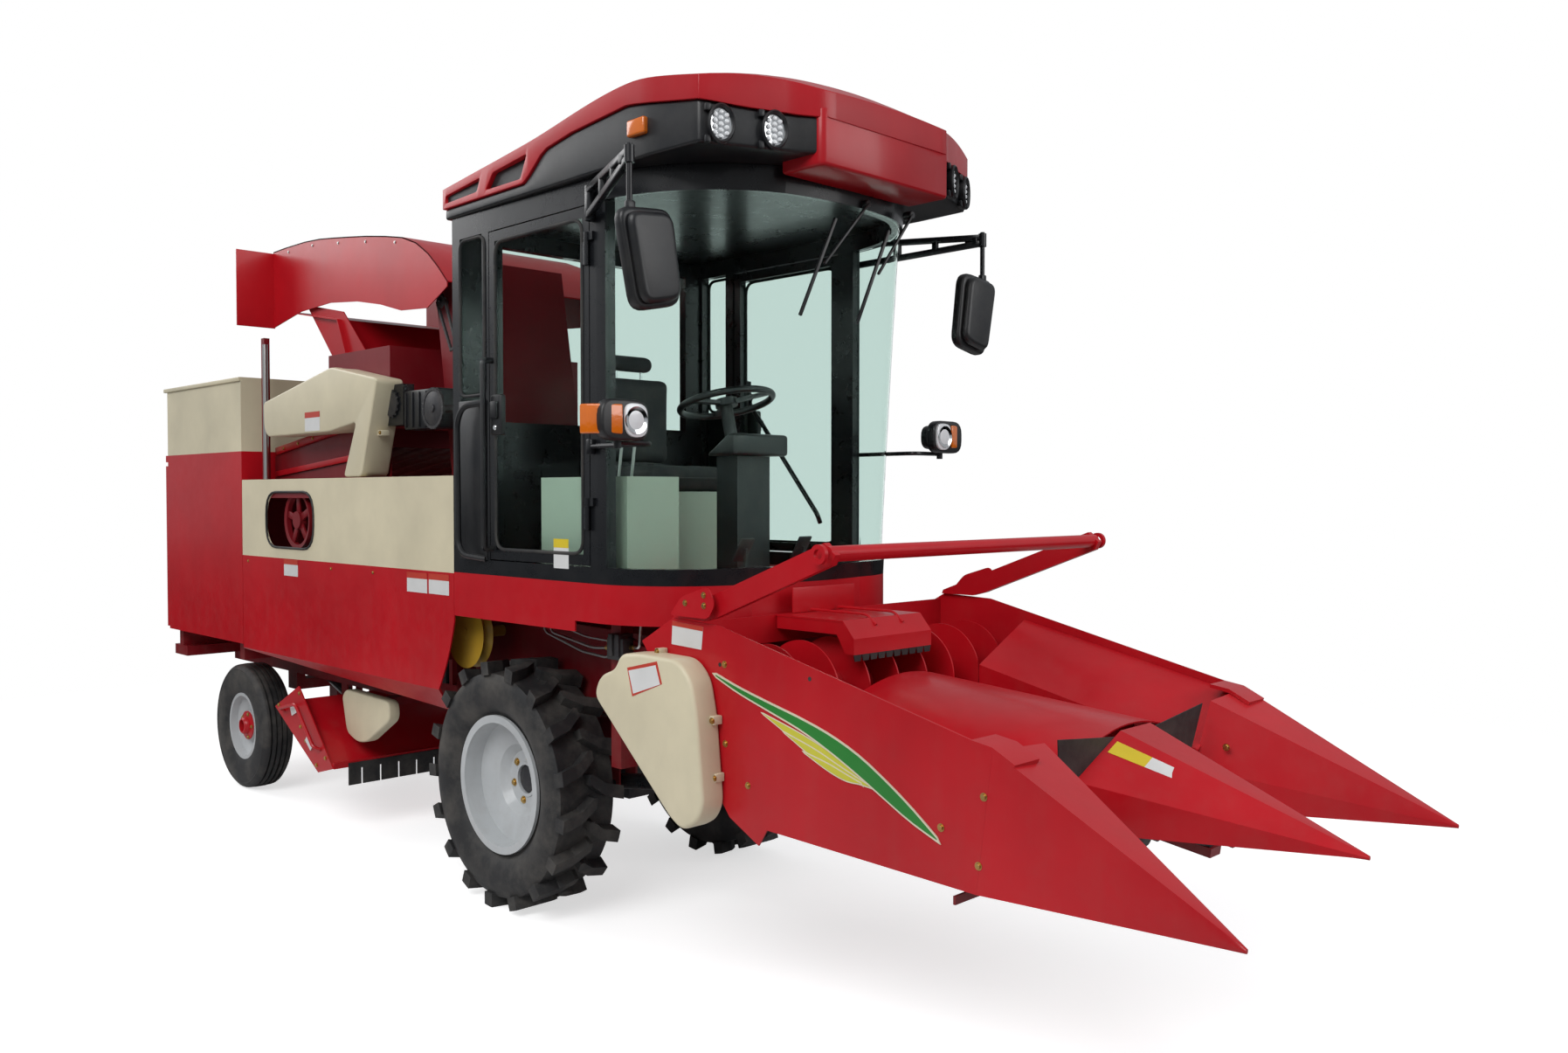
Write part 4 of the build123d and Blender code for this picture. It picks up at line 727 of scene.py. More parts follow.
# ---- guards
upper = [(-1.935, 2.176), (-1.14, 2.308), (-0.672, 2.224), (-0.833, 1.772), (-1.012, 1.772),
         (-0.88, 2.03), (-1.165, 1.995), (-1.884, 1.993), (-1.927, 2.041)]
lower = [(-1.34, 0.66), (-1.29, 0.48), (-1.18, 0.447), (-1.08, 0.46), (-0.84, 0.6),
         (-0.85, 0.69), (-1.3, 0.7)]
front = [(1.172, 0.99), (1.206, 1.062), (1.29, 1.092), (1.322, 1.148), (1.42, 1.158),
         (1.62, 1.154), (1.684, 1.096), (1.712, 0.98), (1.742, 0.7), (1.712, 0.642),
         (1.64, 0.604), (1.58, 0.634)]
shields = [plate(rounded(upper, 0.03), "y", -BODY_SIDE, 0.14, 0.01, 3),
           plate(rounded(lower, 0.04), "y", -0.56, 0.06, 0.01, 3)]
shields += [add_rod((x, -0.565, z), (x, -0.54, z), 0.012)
            for x, z in ((-0.9, 1.85), (-1.158, 2.2))]
piece("belt_guard_covers", "machine", "beige_paint", shields, ("belt_guards",))
piece("header_guard_cover", "header", "beige_paint",
      [plate(rounded(front, 0.04), "y", -GUARD_SIDE, 0.099, 0.014, 4)], ("header_guard",))
piece("header_guard_latches", "header", "beige_paint",
      [add_box((x0, -0.79, z0), (x1, -0.752, z1), 0.003)
       for x0, z0, x1, z1 in ((1.7, 0.95, 1.73, 0.978), (1.71, 0.767, 1.74, 0.795),
                              (1.436, 1.15, 1.46, 1.172))])
piece("header_guard_bolts", "header", "brass",
      bolts(at_y([(1.722, 0.964), (1.732, 0.781), (1.448, 1.162)], -0.79), RIGHTWARD, 0.008))

# ---- blower hood
top_arc = [(-2.3, 3.055), (-2.15, 3.058), (-1.9, 3.056), (-1.72, 3.046), (-1.57, 3.03),
           (-1.4, 3.01), (-1.2, 2.985), (-1.0, 2.955), (-0.833, 2.925), (-0.7, 2.88),
           (-0.59, 2.815), (-0.5, 2.742), (-0.42, 2.666)]
low_arc = [(-0.42, 2.64), (-0.6, 2.56), (-0.85, 2.575), (-1.05, 2.625), (-1.3, 2.668),
           (-1.6, 2.694), (-1.95, 2.684), (-2.3, 2.63)]
HOOD_HALF = 0.48
hood = [plate(top_arc + [(x, z - 0.006) for x, z in reversed(top_arc)], "y", -HOOD_HALF,
              2 * HOOD_HALF)]
for side in SIDES:
    hood.append(plate(top_arc + low_arc, "y", side * HOOD_HALF, -side * SHEET))
    hood.append(side_box(side, (-2.3, 0.476, 2.625), (-2.294, 0.69, 3.045)))
    hood.append(plate([(-1.93, 2.72), (-1.5, 2.64), (-1.26, 2.42), (-1.6, 2.39)], "y",
                      side * 0.45, side * 0.006))
hood.append(plate([(-2.24, 2.716), (-1.53, 2.596), (-1.43, 2.4), (-1.424, 2.4),
                   (-1.524, 2.602), (-2.24, 2.722)], "y", -0.479, 0.958))
piece("blower_hood_sheets", "machine", "red_paint", hood, ("blower_hood",), 20)

# ---- header decks
DECK_REAR, DECK_RUN = 1.88, 0.92
SIDE_FALL, MIDDLE_FALL = 0.205, 0.068
HALF_BARREL, BARREL_RISE = 0.34, 0.085


def deck_rows(points_at):
    """Rows of points along the decks; t runs from 0 at the rear to 1 near the front."""
    return [points_at(x, (x - DECK_REAR) / DECK_RUN) for x in (DECK_REAR, 2.1, 2.32, 2.54, 2.755)]


def barrel_row(x, t):
    """Arched row over the middle deck, with its two upright edges."""
    drop = MIDDLE_FALL * t
    across = [0.04 * step - HALF_BARREL for step in range(18)]
    arc = [(x, y, 0.97 - drop + BARREL_RISE * (1 - (y / HALF_BARREL) ** 2)) for y in across]
    return [(x, -HALF_BARREL, 0.88 - drop), *arc, (x, HALF_BARREL, 0.88 - drop)]


decks = [skin(deck_rows(barrel_row), SHEET)]
for side in SIDES:
    section = ((0.742, 1.19), (0.44, 1.04), (0.44, 0.95))
    decks.append(skin(deck_rows(lambda x, t: [(x, side * y, z - SIDE_FALL * t)
                                              for y, z in section]), SHEET))
decks.append(plate([(1.458, 1.2505), (1.79, 1.2505), (1.842, 1.19), (1.842, 1.135),
                    (1.836, 1.135), (1.836, 1.187), (1.787, 1.2445), (1.467, 1.2445)][::-1], "y",
                   -0.24, 0.43))
for y in (-0.238, 0.184):
    decks.append(plate([(1.467, 1.246), (1.788, 1.246), (1.838, 1.188), (1.838, 1.135),
                        (1.8, 1.135), (1.76, 1.2), (1.467, 1.2)], "y", y, 0.004))
decks.append(add_box((1.908, -0.2, 0.76), (1.914, 0.2, 1.02)))
decks.append(add_box((2.648, -0.2, 0.62), (2.654, 0.2, 0.96)))
piece("header_deck_sheets", "header", "red_paint", decks, ("header_decks",), 25)
piece("canopy_rails", "header", "red_paint",
      [tube(at_y([(1.5, 1.262), (1.77, 1.262), (1.815, 1.228)], y), 0.005, 0.02)
       for y in (-0.09, 0.06)])
TOOTH = 0.043
piece("canopy_rubber_edge", "header", "rubber",
      [plate([(y, 1.138), (y + TOOTH, 1.138), (y + 0.036, 1.112), (y + 0.007, 1.112)], "x", 1.838,
             0.003) for y in [-0.24 + TOOTH * step for step in range(10)]])

# ---- header fittings
panel_heads = [(1.738, 1.143), (2.603, 0.783), (1.846, 0.77), (1.742, 0.888), (2.743, 0.891),
               (2.727, 0.704)]
piece("header_bolts", "header", "brass",
      [bolt for side in SIDES
       for bolt in bolts(at_y(panel_heads, side * HEADER_SIDE), (0, side, 0), 0.0085)])
# dark discs flush with the side panels: painted shade standing in for the inside of two holes
piece("header_hole_shade_discs", "header", "rubber",
      [add_rod((x, side * (HEADER_SIDE - 0.001), z), (x, side * (HEADER_SIDE + 0.0006), z), 0.007)
       for x, z in ((1.716, 1.14), (2.113, 1.136)) for side in SIDES])


def decal(points, level, colour, name, lift=0.0006):
    """Thin film on a face across y."""
    return piece(name, "header", colour, [plate(points, "y", level - lift, lift + FILM)])


def leaf(upper, lower, grow):
    """Pointed outline between two curves of (x, z), widened all round."""
    places = [upper[0][0] + (upper[-1][0] - upper[0][0]) * step / 22 for step in range(23)]
    top = [(x, along(upper, x) + grow) for x in places]
    bottom = [(x, along(lower, x) - grow) for x in reversed(places)]
    tail = upper[0][0] - 3 * grow, (upper[0][1] + lower[0][1]) / 2 + grow
    point = upper[-1][0] + 2 * grow, (upper[-1][1] + lower[-1][1]) / 2 - 2 * grow
    return [tail, *top, point, *bottom]


main_upper = [(1.7, 1.106), (1.8, 1.076), (1.94, 1.042), (2.08, 1.01), (2.2, 0.976),
              (2.31, 0.932), (2.41, 0.876), (2.5, 0.818), (2.592, 0.75)]
main_lower = [(1.7, 1.102), (1.8, 1.064), (1.94, 1.022), (2.08, 0.98), (2.2, 0.932),
              (2.31, 0.88), (2.41, 0.828), (2.5, 0.783), (2.592, 0.747)]
blades = (((1.915, 1.006), (2.1, 0.958), (2.26, 0.902), (2.4, 0.842), 0.034),
          ((2.01, 0.96), (2.14, 0.925), (2.25, 0.886), (2.36, 0.85), 0.026),
          ((2.095, 0.912), (2.19, 0.892), (2.26, 0.872), (2.32, 0.855), 0.018))
decal(leaf(main_upper, main_lower, 0.006), -HEADER_SIDE, "stripe_cream", "stripe_border", 0.0038)
decal(leaf(main_upper, main_lower, 0.0), -HEADER_SIDE, "stripe_green", "stripe_leaf", 0.0044)
for index, (*line, width) in enumerate(blades):
    under = [(x, z - width * share) for (x, z), share in zip(line, (0, 1, 0.9, 0))]
    lift = 0.0004 + 0.0012 * index
    decal(leaf(line, under, 0.004), -HEADER_SIDE, "stripe_cream", f"blade_border_{index}", lift)
    decal(leaf(line, under, 0.0), -HEADER_SIDE, "stripe_yellow", f"stripe_blade_{index}",
          lift + 0.0006)
decal([(1.482, 1.264), (1.636, 1.256), (1.627, 1.18), (1.477, 1.186)], -HEADER_SIDE - FILM,
      "label_white", "panel_label")
decal([(1.482, 1.264), (1.636, 1.256), (1.634, 1.241), (1.481, 1.249)], -HEADER_SIDE - 4 * FILM,
      "label_red", "panel_label_edge")
decal([(1.364, 1.105), (1.52, 1.141), (1.546, 1.069), (1.391, 1.011)], -GUARD_SIDE - FILM,
      "label_red", "guard_label_edge", 0.0008)
decal([(1.372, 1.096), (1.514, 1.128), (1.537, 1.067), (1.397, 1.021)], -GUARD_SIDE - FILM,
      "label_white", "guard_label", 0.0014)

# ---- push bar and snouts
bracket_bolts, caps, hinge_plates = [], [], []
for side in SIDES:
    bracket_bolts += bolts(at_y([(1.67, 1.363), (1.579, 1.332), (1.671, 1.329)], side * 0.779),
                           (0, side, 0), 0.008)
    caps.append(turned([(0.016, 0.0), (0.03, 0.0), (0.03, 0.014), (0.016, 0.014)],
                       (2.18, side * 0.774, 1.512), (0, side, 0), 24))
    caps.append(plate(rounded([(1.5, 1.288), (1.56, 1.352), (1.69, 1.392), (1.724, 1.335),
                               (1.69, 1.286)], 0.02), "y", side * 0.7745, side * 0.005))
    hinge_plates.append(plate([(2.7, 1.036), (2.768, 1.026), (2.84, 0.99), (2.834, 0.978),
                               (2.77, 1.012), (2.7, 1.024)], "y", side * 0.7505,
                              -side * 0.115))
piece("push_bar_bolts", "header", "brass", bracket_bolts)
piece("push_bar_sockets", "header", "red_paint", caps)
piece("snout_hinge_plates", "header", "red_paint", hinge_plates)


def film(name, look, corners, lift):
    """Thin film over four corners of a slanting face of the header."""
    normal = (corners[1] - corners[0]).cross(corners[3] - corners[0]).normalized()
    obj = fresh(bpy.ops.mesh.primitive_plane_add, size=1)
    put(obj, [corners[index] + normal * lift for index in (0, 1, 3, 2)])
    bpy.ops.object.mode_set(mode="EDIT")
    outward()
    modified(obj, "SOLIDIFY", thickness=0.0005, offset=0.0)
    return piece(name, "header", look, [obj])


def on_face(face, near, far, low, high):
    """Four corners on the face between two base corners and a tip."""
    a, b, tip = map(Vector, face)
    return [a.lerp(tip, s).lerp(b.lerp(tip, s), t)
            for s, t in ((near, low), (far, low), (far, high), (near, high))]


middle_face = ((2.754, -0.32, 0.863), (2.769, -0.09, 0.982), (3.45, 0, 0.722))
far_face = ((2.741, 0.445, 0.784), (2.768, 0.505, 1.002), (3.45, 0.744, 0.666))
film("snout_label_yellow", "label_yellow", on_face(middle_face, 0.02, 0.17, 0.6, 0.82), 0.0012)
film("snout_label_white", "label_white", on_face(middle_face, 0.17, 0.34, 0.6, 0.82), 0.0012)
film("far_snout_label_edge", "amber", on_face(far_face, 0.04, 0.3, 0.3, 0.8), 0.0012)
film("far_snout_label", "label_white", on_face(far_face, 0.05, 0.29, 0.34, 0.76), 0.002)
piece("snout_bolts", "header", "brass",
      bolts([(2.815, -0.302, 0.8), (2.835, 0.474, 0.86), (2.835, -0.474, 0.86)],
            RIGHTWARD, 0.009))

# ---- labels on the body
BAND_SHARE = 0.3
for index, (low, high, look) in enumerate((
        ((-1.69, 1.267), (-1.525, 1.352), "label_red"),
        ((-0.401, 1.256), (-0.225, 1.344), "label_red"),
        ((-0.21, 1.257), (-0.042, 1.345), "label_red"),
        ((0.727, 1.408), (0.823, 1.52), "label_yellow"),
        ((-1.426, 2.005), (-1.259, 2.1), "label_red"))):
    foot = high[1] - BAND_SHARE * (high[1] - low[1])
    for corner, colour, lift in ((low, "label_white", 0.0008), ((low[0], foot), look, 0.0013)):
        piece(f"body_{colour}_{index}", "machine", colour,
              [plate(oblong(corner, high), "y", -BODY_SIDE - FILM, -lift)])

# ---- wheels
TYRE_TOP = 0.3565
tread = []
for groove in (-0.044, -0.015, 0.015, 0.044):
    crest = TYRE_TOP - 0.005 * (groove / 0.066) ** 2
    tread += [(crest, groove - 0.006), (crest - 0.013, groove - 0.003),
              (crest - 0.013, groove + 0.003), (crest, groove + 0.006)]
flank = [(0.178, -0.055), (0.194, -0.068), (0.215, -0.08), (0.255, -0.0885), (0.295, -0.088),
         (0.322, -0.083), (0.328, -0.086), (0.334, -0.082), (0.348, -0.07), (0.3525, -0.062)]
rear_section = flank + tread + [(radius, -offset) for radius, offset in reversed(flank)]


def rear_wheel_trim(side, hand):
    """Ribbed tyre, hub cap and nuts of a rear wheel."""
    body, out, hub = f"rear_wheel_{hand}", (0, side, 0), pivots[f"rear_wheel_{hand}"]
    piece(f"rear_tyre_tread_{hand}", body, "tyre_rubber",
          [turned(rear_section, hub, (0, 1, 0), 72)], (f"rear_tyre_{hand}",), 30)
    piece(f"rear_hub_cap_{hand}", body, "red_paint",
          [turned([(0.034, 0.0), (0.082, 0.0), (0.082, 0.006), (0.052, 0.012), (0.048, 0.03),
                   (0.04, 0.038), (0.034, 0.038)], hub + Vector((0, side * 0.034, 0)), out, 32)])
    piece(f"rear_hub_nuts_{hand}", body, "brass",
          bolts(around(hub + Vector((0, side * 0.043, 0)), 0.067, 5), out, 0.009))


def front_wheel_trim(side, hand):
    """Hub cap, ring, valve and nuts of a front wheel."""
    body, out, axle = f"front_wheel_{hand}", (0, side, 0), pivots[f"front_wheel_{hand}"]
    hub = Vector((axle.x, side * 0.543, axle.z))
    piece(f"front_hub_cap_{hand}", body, "iron",
          [turned([(0.0, -0.02), (0.056, -0.02), (0.056, -0.006), (0.04, 0.004), (0.0, 0.006)],
                  hub, out, 32)])
    ring = turned([(0.06, -0.002), (0.073, -0.002), (0.073, 0.004), (0.06, 0.004)], hub, out, 40)
    valve = add_rod(hub + Vector((0.215, side * 0.01, 0.03)),
                    hub + Vector((0.219, side * 0.05, 0.03)), 0.004, 10)
    piece(f"front_hub_ring_{hand}", body, "rim_silver", [ring, valve])
    piece(f"front_wheel_nuts_{hand}", body, "brass",
          bolts(around(hub + Vector((0, side * 0.001, 0)), 0.092, 6, 0.3), out, 0.012))


def door_trim(side, hand):
    """Rail, lock and gasket of a cab door."""
    door = f"door_{hand}"
    path = [(0.302, BODY_SIDE, 1.468), (0.302, 0.742, 1.468), (0.302, 0.742, 2.228),
            (0.302, BODY_SIDE, 2.228)]
    piece(f"door_rail_{hand}", door, "black_plastic", [tube(on_side(side, path), 0.0125, 0.045)])
    piece(f"door_lock_{hand}", door, "black_plastic",
          [side_box(side, (0.33, BODY_SIDE, 1.925), (0.406, 0.728, 2.088), 0.01, 3),
           side_box(side, (0.345, 0.726, 1.99), (0.392, 0.742, 2.06), 0.006)])
    piece(f"door_key_barrel_{hand}", door, "chrome",
          [add_rod((0.368, side * 0.725, 1.955), (0.368, side * 0.733, 1.955), 0.011, 20, 0.002)])
    seal = at_y(oblong((0.327, 1.467), (0.913, 2.703)), side * 0.699)
    piece(f"door_gasket_{hand}", door, "rubber", [tube(seal, 0.007, 0.06, True)])


for side, hand in HANDS.items():
    rear_wheel_trim(side, hand)
    front_wheel_trim(side, hand)
    door_trim(side, hand)

# ---- cab trim
piece("door_inner_rail", "door_left", "black_paint",
      [tube([(0.86, 0.65, 1.56), (0.86, 0.63, 1.6), (0.42, 0.63, 2.12),
             (0.42, 0.65, 2.16)], 0.011, 0.03)])


def on_screen(y, z, stand_off):
    """Place before the sloping windscreen at a height."""
    return 1.44 + 0.18 * (z - 1.36) / 1.48 + stand_off, y, z


wipers = []
for pivot_y, elbow_y, tip_y in ((0.08, -0.13, -0.2), (0.34, 0.17, 0.11)):
    wipers.append(add_rod(on_screen(pivot_y, 2.765, -0.02), on_screen(pivot_y, 2.765, 0.02),
                          0.016, 16, 0.003))
    wipers.append(add_bar(on_screen(pivot_y, 2.765, 0.018), on_screen(elbow_y, 2.52, 0.02),
                          0.012, 0.009, 0.002))
    top, foot = on_screen(elbow_y + 0.05, 2.68, 0.01), on_screen(tip_y - 0.02, 2.34, 0.006)
    wipers.append(add_bar((*top[:2], 2.69), (*foot[:2], 2.33), 0.012, 0.012, 0.002))
piece("windscreen_wipers", "machine", "black_plastic", wipers)

# ---- body fittings
rim = [add_box((-3.39, y - 0.006, 2.312), (-2.232, y + 0.006, 2.334), 0.003)
       for y in (-0.704, 0.704)]
rim += [add_box((x - 0.006, -0.704, 2.312), (x + 0.006, 0.704, 2.334), 0.003)
        for x in (-3.384, -2.238)]
piece("bin_rim", "bin", "beige_paint", rim)
WHEEL_AT = (-1.6, -0.655, 1.556)
wheel = [turned([(0.128, -0.012), (0.15, -0.016), (0.154, 0.0), (0.15, 0.016), (0.128, 0.012)],
                WHEEL_AT, (0, 1, 0), 48), disc(0.045, 0.018, WHEEL_AT)]
wheel += [add_bar(near, far, 0.012, 0.036, 0.003)
          for near, far in zip(around(WHEEL_AT, 0.03, 5, 0.4), around(WHEEL_AT, 0.14, 5, 0.4))]
# the wheel sits back in the window and takes dark_red_paint, the red at its shaded-side value: painted shade
piece("window_wheel", "machine", "dark_red_paint", wheel)
edge = rounded(oblong((-1.905, 1.411), (-1.337, 1.701)), 0.12)
piece("window_edge", "machine", "rubber", [tube(at_y(edge, -0.701), 0.006, 0.002, True)])
piece("upper_guard_latches", "machine", "beige_paint",
      [add_box((x - 0.02, -0.65, z - 0.012), (x + 0.02, -0.61, z + 0.014), 0.003)
       for x, z in ((-1.211, 2.3), (-0.745, 1.975))])
piece("upper_guard_latch_bolts", "machine", "brass",
      bolts(at_y([(-1.211, 2.302), (-0.735, 1.977)], -0.652), RIGHTWARD, 0.007))
piece("husker_post_tube", "machine", "steel",
      [add_rod((-2.045, -0.64, 1.772), (-2.045, -0.64, 2.5), 0.014, 20)])
piece("husker_rails", "machine", "red_paint",
      [add_bar((-2.11, -0.556, 1.925), (-0.85, -0.556, 2.078), 0.012, 0.04, 0.002),
       add_bar((-2.11, -0.556, 1.8), (-0.85, -0.556, 1.9), 0.012, 0.03, 0.002)])
piece("husker_rail_bolts", "machine", "brass",
      bolts([(-2.0 + 0.18 * step, -0.562, 1.9385 + 0.0219 * step) for step in range(7)],
            RIGHTWARD, 0.007))
SPROCKET_AT = (-0.7, -0.612, 2.11)
reach = Vector((0.005, 0.003, 0.005))
piece("gearbox_sprocket", "machine", "iron",
      [disc(0.058, 0.004, SPROCKET_AT)]
      + [add_box(tooth - reach, tooth + reach) for tooth in around(SPROCKET_AT, 0.062, 14)])

# ---- hydraulics
piece("hydraulic_pipes", "machine", "steel",
      [tube(at_y(path, y), radius, bend) for path, y, radius, bend in (
          (((0.402, 1.2), (0.402, 1.126), (0.665, 1.067), (0.823, 1.057), (0.86, 1.085)),
           -0.52, 0.006, 0.03),
          (((0.476, 1.2), (0.476, 1.132), (0.756, 1.092), (0.86, 1.1)), -0.54, 0.006, 0.03),
          (((0.54, 1.2), (0.54, 1.16), (0.7, 1.13), (0.86, 1.125)), -0.53, 0.005, 0.03),
          (((0.98, 1.11), (1.02, 1.11), (1.03, 1.2)), -0.52, 0.006, 0.02))])
piece("hydraulic_valve", "machine", "iron",
      [add_box((0.87, -0.56, 1.06), (0.97, -0.5, 1.145), 0.005)]
      + [add_box((x, -0.57, 1.075), (x + 0.025, -0.498, 1.16), 0.004) for x in (0.89, 0.93)])
piece("hydraulic_unions", "machine", "brass",
      [add_rod((x0, y, z), (x1, y, z), 0.011, 6)
       for x0, x1, y, z in ((0.845, 0.872, -0.52, 1.085), (0.845, 0.872, -0.54, 1.1),
                            (0.845, 0.872, -0.53, 1.125), (0.968, 0.99, -0.52, 1.11))])

# ---- chopper
for side, hand in HANDS.items():
    path = [(-1.7, BODY_SIDE, 0.56), (-1.7, 0.732, 0.575), (-1.5, 0.732, 0.62),
            (-1.3, 0.732, 0.43), (-1.285, BODY_SIDE, 0.415)]
    piece(f"chopper_handle_{hand}", "machine", "red_paint",
          [tube(on_side(side, path), 0.009, 0.03)])
    spots = [(-1.77, 0.58), (-1.52, 0.67), (-1.23, 0.38), (-1.33, 0.33),
             (-1.51, 0.5), (-1.45, 0.435)]
    piece(f"chopper_bolts_{hand}", "machine", "brass",
          bolts(at_y(spots, side * 0.701), (0, side, 0), 0.008))

# ---- gathering chains
CHAIN_START, BEND, STRAIGHT, PITCH = 0.045, 0.029, 0.954, 0.038
LUG_EVERY, LUG_FIRST = 6, 3
slope = math.radians(8.0)
row_turn = Matrix(((-math.cos(slope), 0, math.sin(slope), 2.88), (0, -1, 0, 0),
                   (math.sin(slope), 0, math.cos(slope), 0.545), (0, 0, 0, 1)))


def on_chain(way):
    """Place and turn at this way round a chain's two straights and two bends."""
    if way < STRAIGHT:
        return CHAIN_START + way, -BEND, math.pi
    if way < STRAIGHT + math.pi * BEND:
        bend = (way - STRAIGHT) / BEND
        return (CHAIN_START + STRAIGHT + BEND * math.sin(bend), -BEND * math.cos(bend),
                math.pi + bend)
    if way < 2 * STRAIGHT + math.pi * BEND:
        return CHAIN_START + 2 * STRAIGHT + math.pi * BEND - way, BEND, 0.0
    bend = (way - 2 * STRAIGHT - math.pi * BEND) / BEND
    return CHAIN_START - BEND * math.sin(bend), BEND * math.cos(bend), bend


link = joined([add_box((-0.019, -0.005, -0.009), (0.019, 0.005, 0.009)),
               add_rod((-0.019, 0, -0.011), (-0.019, 0, 0.011), 0.007, 8)])
lug = add_box((-0.01, -0.005, -0.01), (0.01, 0.04, 0.01))
loop = 2 * STRAIGHT + math.tau * BEND
count = round(loop / PITCH)
link_places, lug_places = [], []
for middle in (-0.471, -0.299, 0.299, 0.471):
    for index in range(count):
        x, y, turn = on_chain(index * loop / count)
        spot = row_turn @ Matrix.Translation((x, y - middle, 0.0415)) \
            @ Matrix.Rotation(turn, 4, "Z")
        link_places.append(spot)
        if index % LUG_EVERY == LUG_FIRST:
            lug_places.append(spot)
piece("gathering_chains", "header", "iron", copies(link, link_places) + copies(lug, lug_places),
      ("row_chains",))


# ---- cab interior
def stuffed(obj, swell):
    """Upholstery: the skin is blown out by a short cloth solve, held to a small swell."""
    modified(obj, "REMESH", mode="VOXEL", voxel_size=0.01)
    before = [vertex.co.copy() for vertex in obj.data.vertices]
    cloth = obj.modifiers.new("cloth", "CLOTH")
    cloth.settings.quality = 4
    cloth.settings.use_pressure = True
    cloth.settings.uniform_pressure_force = 4.0
    cloth.settings.effector_weights.gravity = 0.0
    cloth.point_cache.frame_start, cloth.point_cache.frame_end = 1, 20
    for frame_number in range(1, 21):
        scene.frame_set(frame_number)
    only(obj)
    bpy.ops.object.modifier_apply(modifier="cloth")
    scene.frame_set(1)
    for vertex, old in zip(obj.data.vertices, before):
        move = vertex.co - old
        if move.length > swell:
            vertex.co = old + move.normalized() * swell
    return modified(obj, "SUBSURF", levels=1)


cushion = stuffed(add_box((0.262, -0.225, 1.712), (0.728, 0.225, 1.8), 0.03, 3), 0.01)
back = stuffed(add_box((0.262, -0.215, 1.822), (0.34, 0.215, 2.21), 0.03, 3), 0.01)
rest = stuffed(add_box((0.268, -0.12, 2.232), (0.338, 0.12, 2.3), 0.028, 3), 0.006)
pads = piece("seat_pads", "machine", "seat_cloth", [cushion, back, rest], ("seat",), 60)
seam = [(0.268, -0.18), (0.268, -0.228), (0.728, -0.228), (0.732, -0.18), (0.732, 0.18),
        (0.728, 0.228), (0.268, 0.228), (0.268, 0.18)]
piece("seat_seams", "machine", "black_plastic",
      [tube([(*spot, 1.756) for spot in seam], 0.003, 0.02)])
piece("rest_posts", "machine", "chrome",
      [add_rod((0.302, y, 2.19), (0.302, y, 2.25), 0.006, 12) for y in (-0.07, 0.07)])
LEVER_PLACES, LEVER_SIDE = (0.74, 0.82, 0.9), -0.46
piece("hand_levers", "machine", "steel",
      [add_rod((x, LEVER_SIDE, 1.755), (x + 0.02, LEVER_SIDE, 1.88), 0.006, 12)
       for x in LEVER_PLACES])
piece("lever_knobs", "machine", "black_plastic",
      [turned([(0.0, -0.022), (0.014, -0.018), (0.019, 0.0), (0.014, 0.018), (0.0, 0.022)],
              (x + 0.021, LEVER_SIDE, 1.895), UPWARD, 16) for x in LEVER_PLACES])
piece("dash_hood", "machine", "black_plastic",
      [plate([(0.975, 1.842), (1.11, 1.93), (1.15, 1.925), (1.15, 1.842)], "y", -0.15, 0.3,
             0.014, 3)])
piece("pedals", "machine", "iron",
      [add_bar((1.18, y, 1.43), (1.235, y, 1.52), 0.07, 0.01, 0.004) for y in (-0.16, 0.16)]
      + [add_bar((1.215, y, 1.38), (1.225, y, 1.48), 0.012, 0.012) for y in (-0.16, 0.16)])

# ---- steps
STEP_LEVELS = (0.43, 0.69, 0.95)
steps = [add_box((x - 0.008, 0.745, 0.43), (x + 0.008, 0.76, 1.172), 0.003)
         for x in (0.88, 1.12)]
steps += [add_box((0.872, y, z), (1.128, 0.885, z + rise))
          for y, rise in ((0.745, 0.006), (0.879, 0.03)) for z in STEP_LEVELS]
steps += [add_bar((x, 0.755, z + 0.14), (x, 0.88, z + 0.004), 0.006, 0.02)
          for x in (0.876, 1.124) for z in STEP_LEVELS]
steps += [add_box((0.872, 0.69, 1.12), (1.128, 0.76, 1.172), 0.003)]
piece("cab_steps", "machine", "red_paint", steps)
piece("cab_step_treads", "machine", "iron",
      [add_box((x, 0.765, z + 0.005), (x + 0.008, 0.875, z + 0.01))
       for x in [0.885 + 0.04 * step for step in range(6)] for z in STEP_LEVELS])

# ---- small fittings
rivet_places = (-2.15, -1.15, -0.72, -0.1)
rivets = [bolts([(x, side * (BODY_SIDE + FILM), 1.325) for x in places], (0, side, 0), 0.006)
          for side, places in zip(SIDES, (rivet_places[:3], rivet_places))]
piece("panel_rivets", "machine", "brass", rivets[0] + rivets[1])
piece("chopper_labels", "machine", "label_white",
      [plate(label, "y", -0.7065, -0.0008) for label in (
          [(-1.62, 0.585), (-1.56, 0.61), (-1.54, 0.57), (-1.6, 0.545)],
          [(-1.42, 0.47), (-1.36, 0.42), (-1.385, 0.395), (-1.445, 0.44)])])
piece("hood_rivets", "machine", "steel",
      bolts(at_y([(x, along(top_arc, x) - 0.03) for x in (-2.1, -1.8, -1.5, -1.2, -0.9)],
                 -HOOD_HALF - 0.0005), RIGHTWARD, 0.006))
piece("header_upright_plate", "header", "red_paint",
      [add_box((1.482, -0.175, 1.252), (1.4885, 0.165, 1.345), 0.002)])
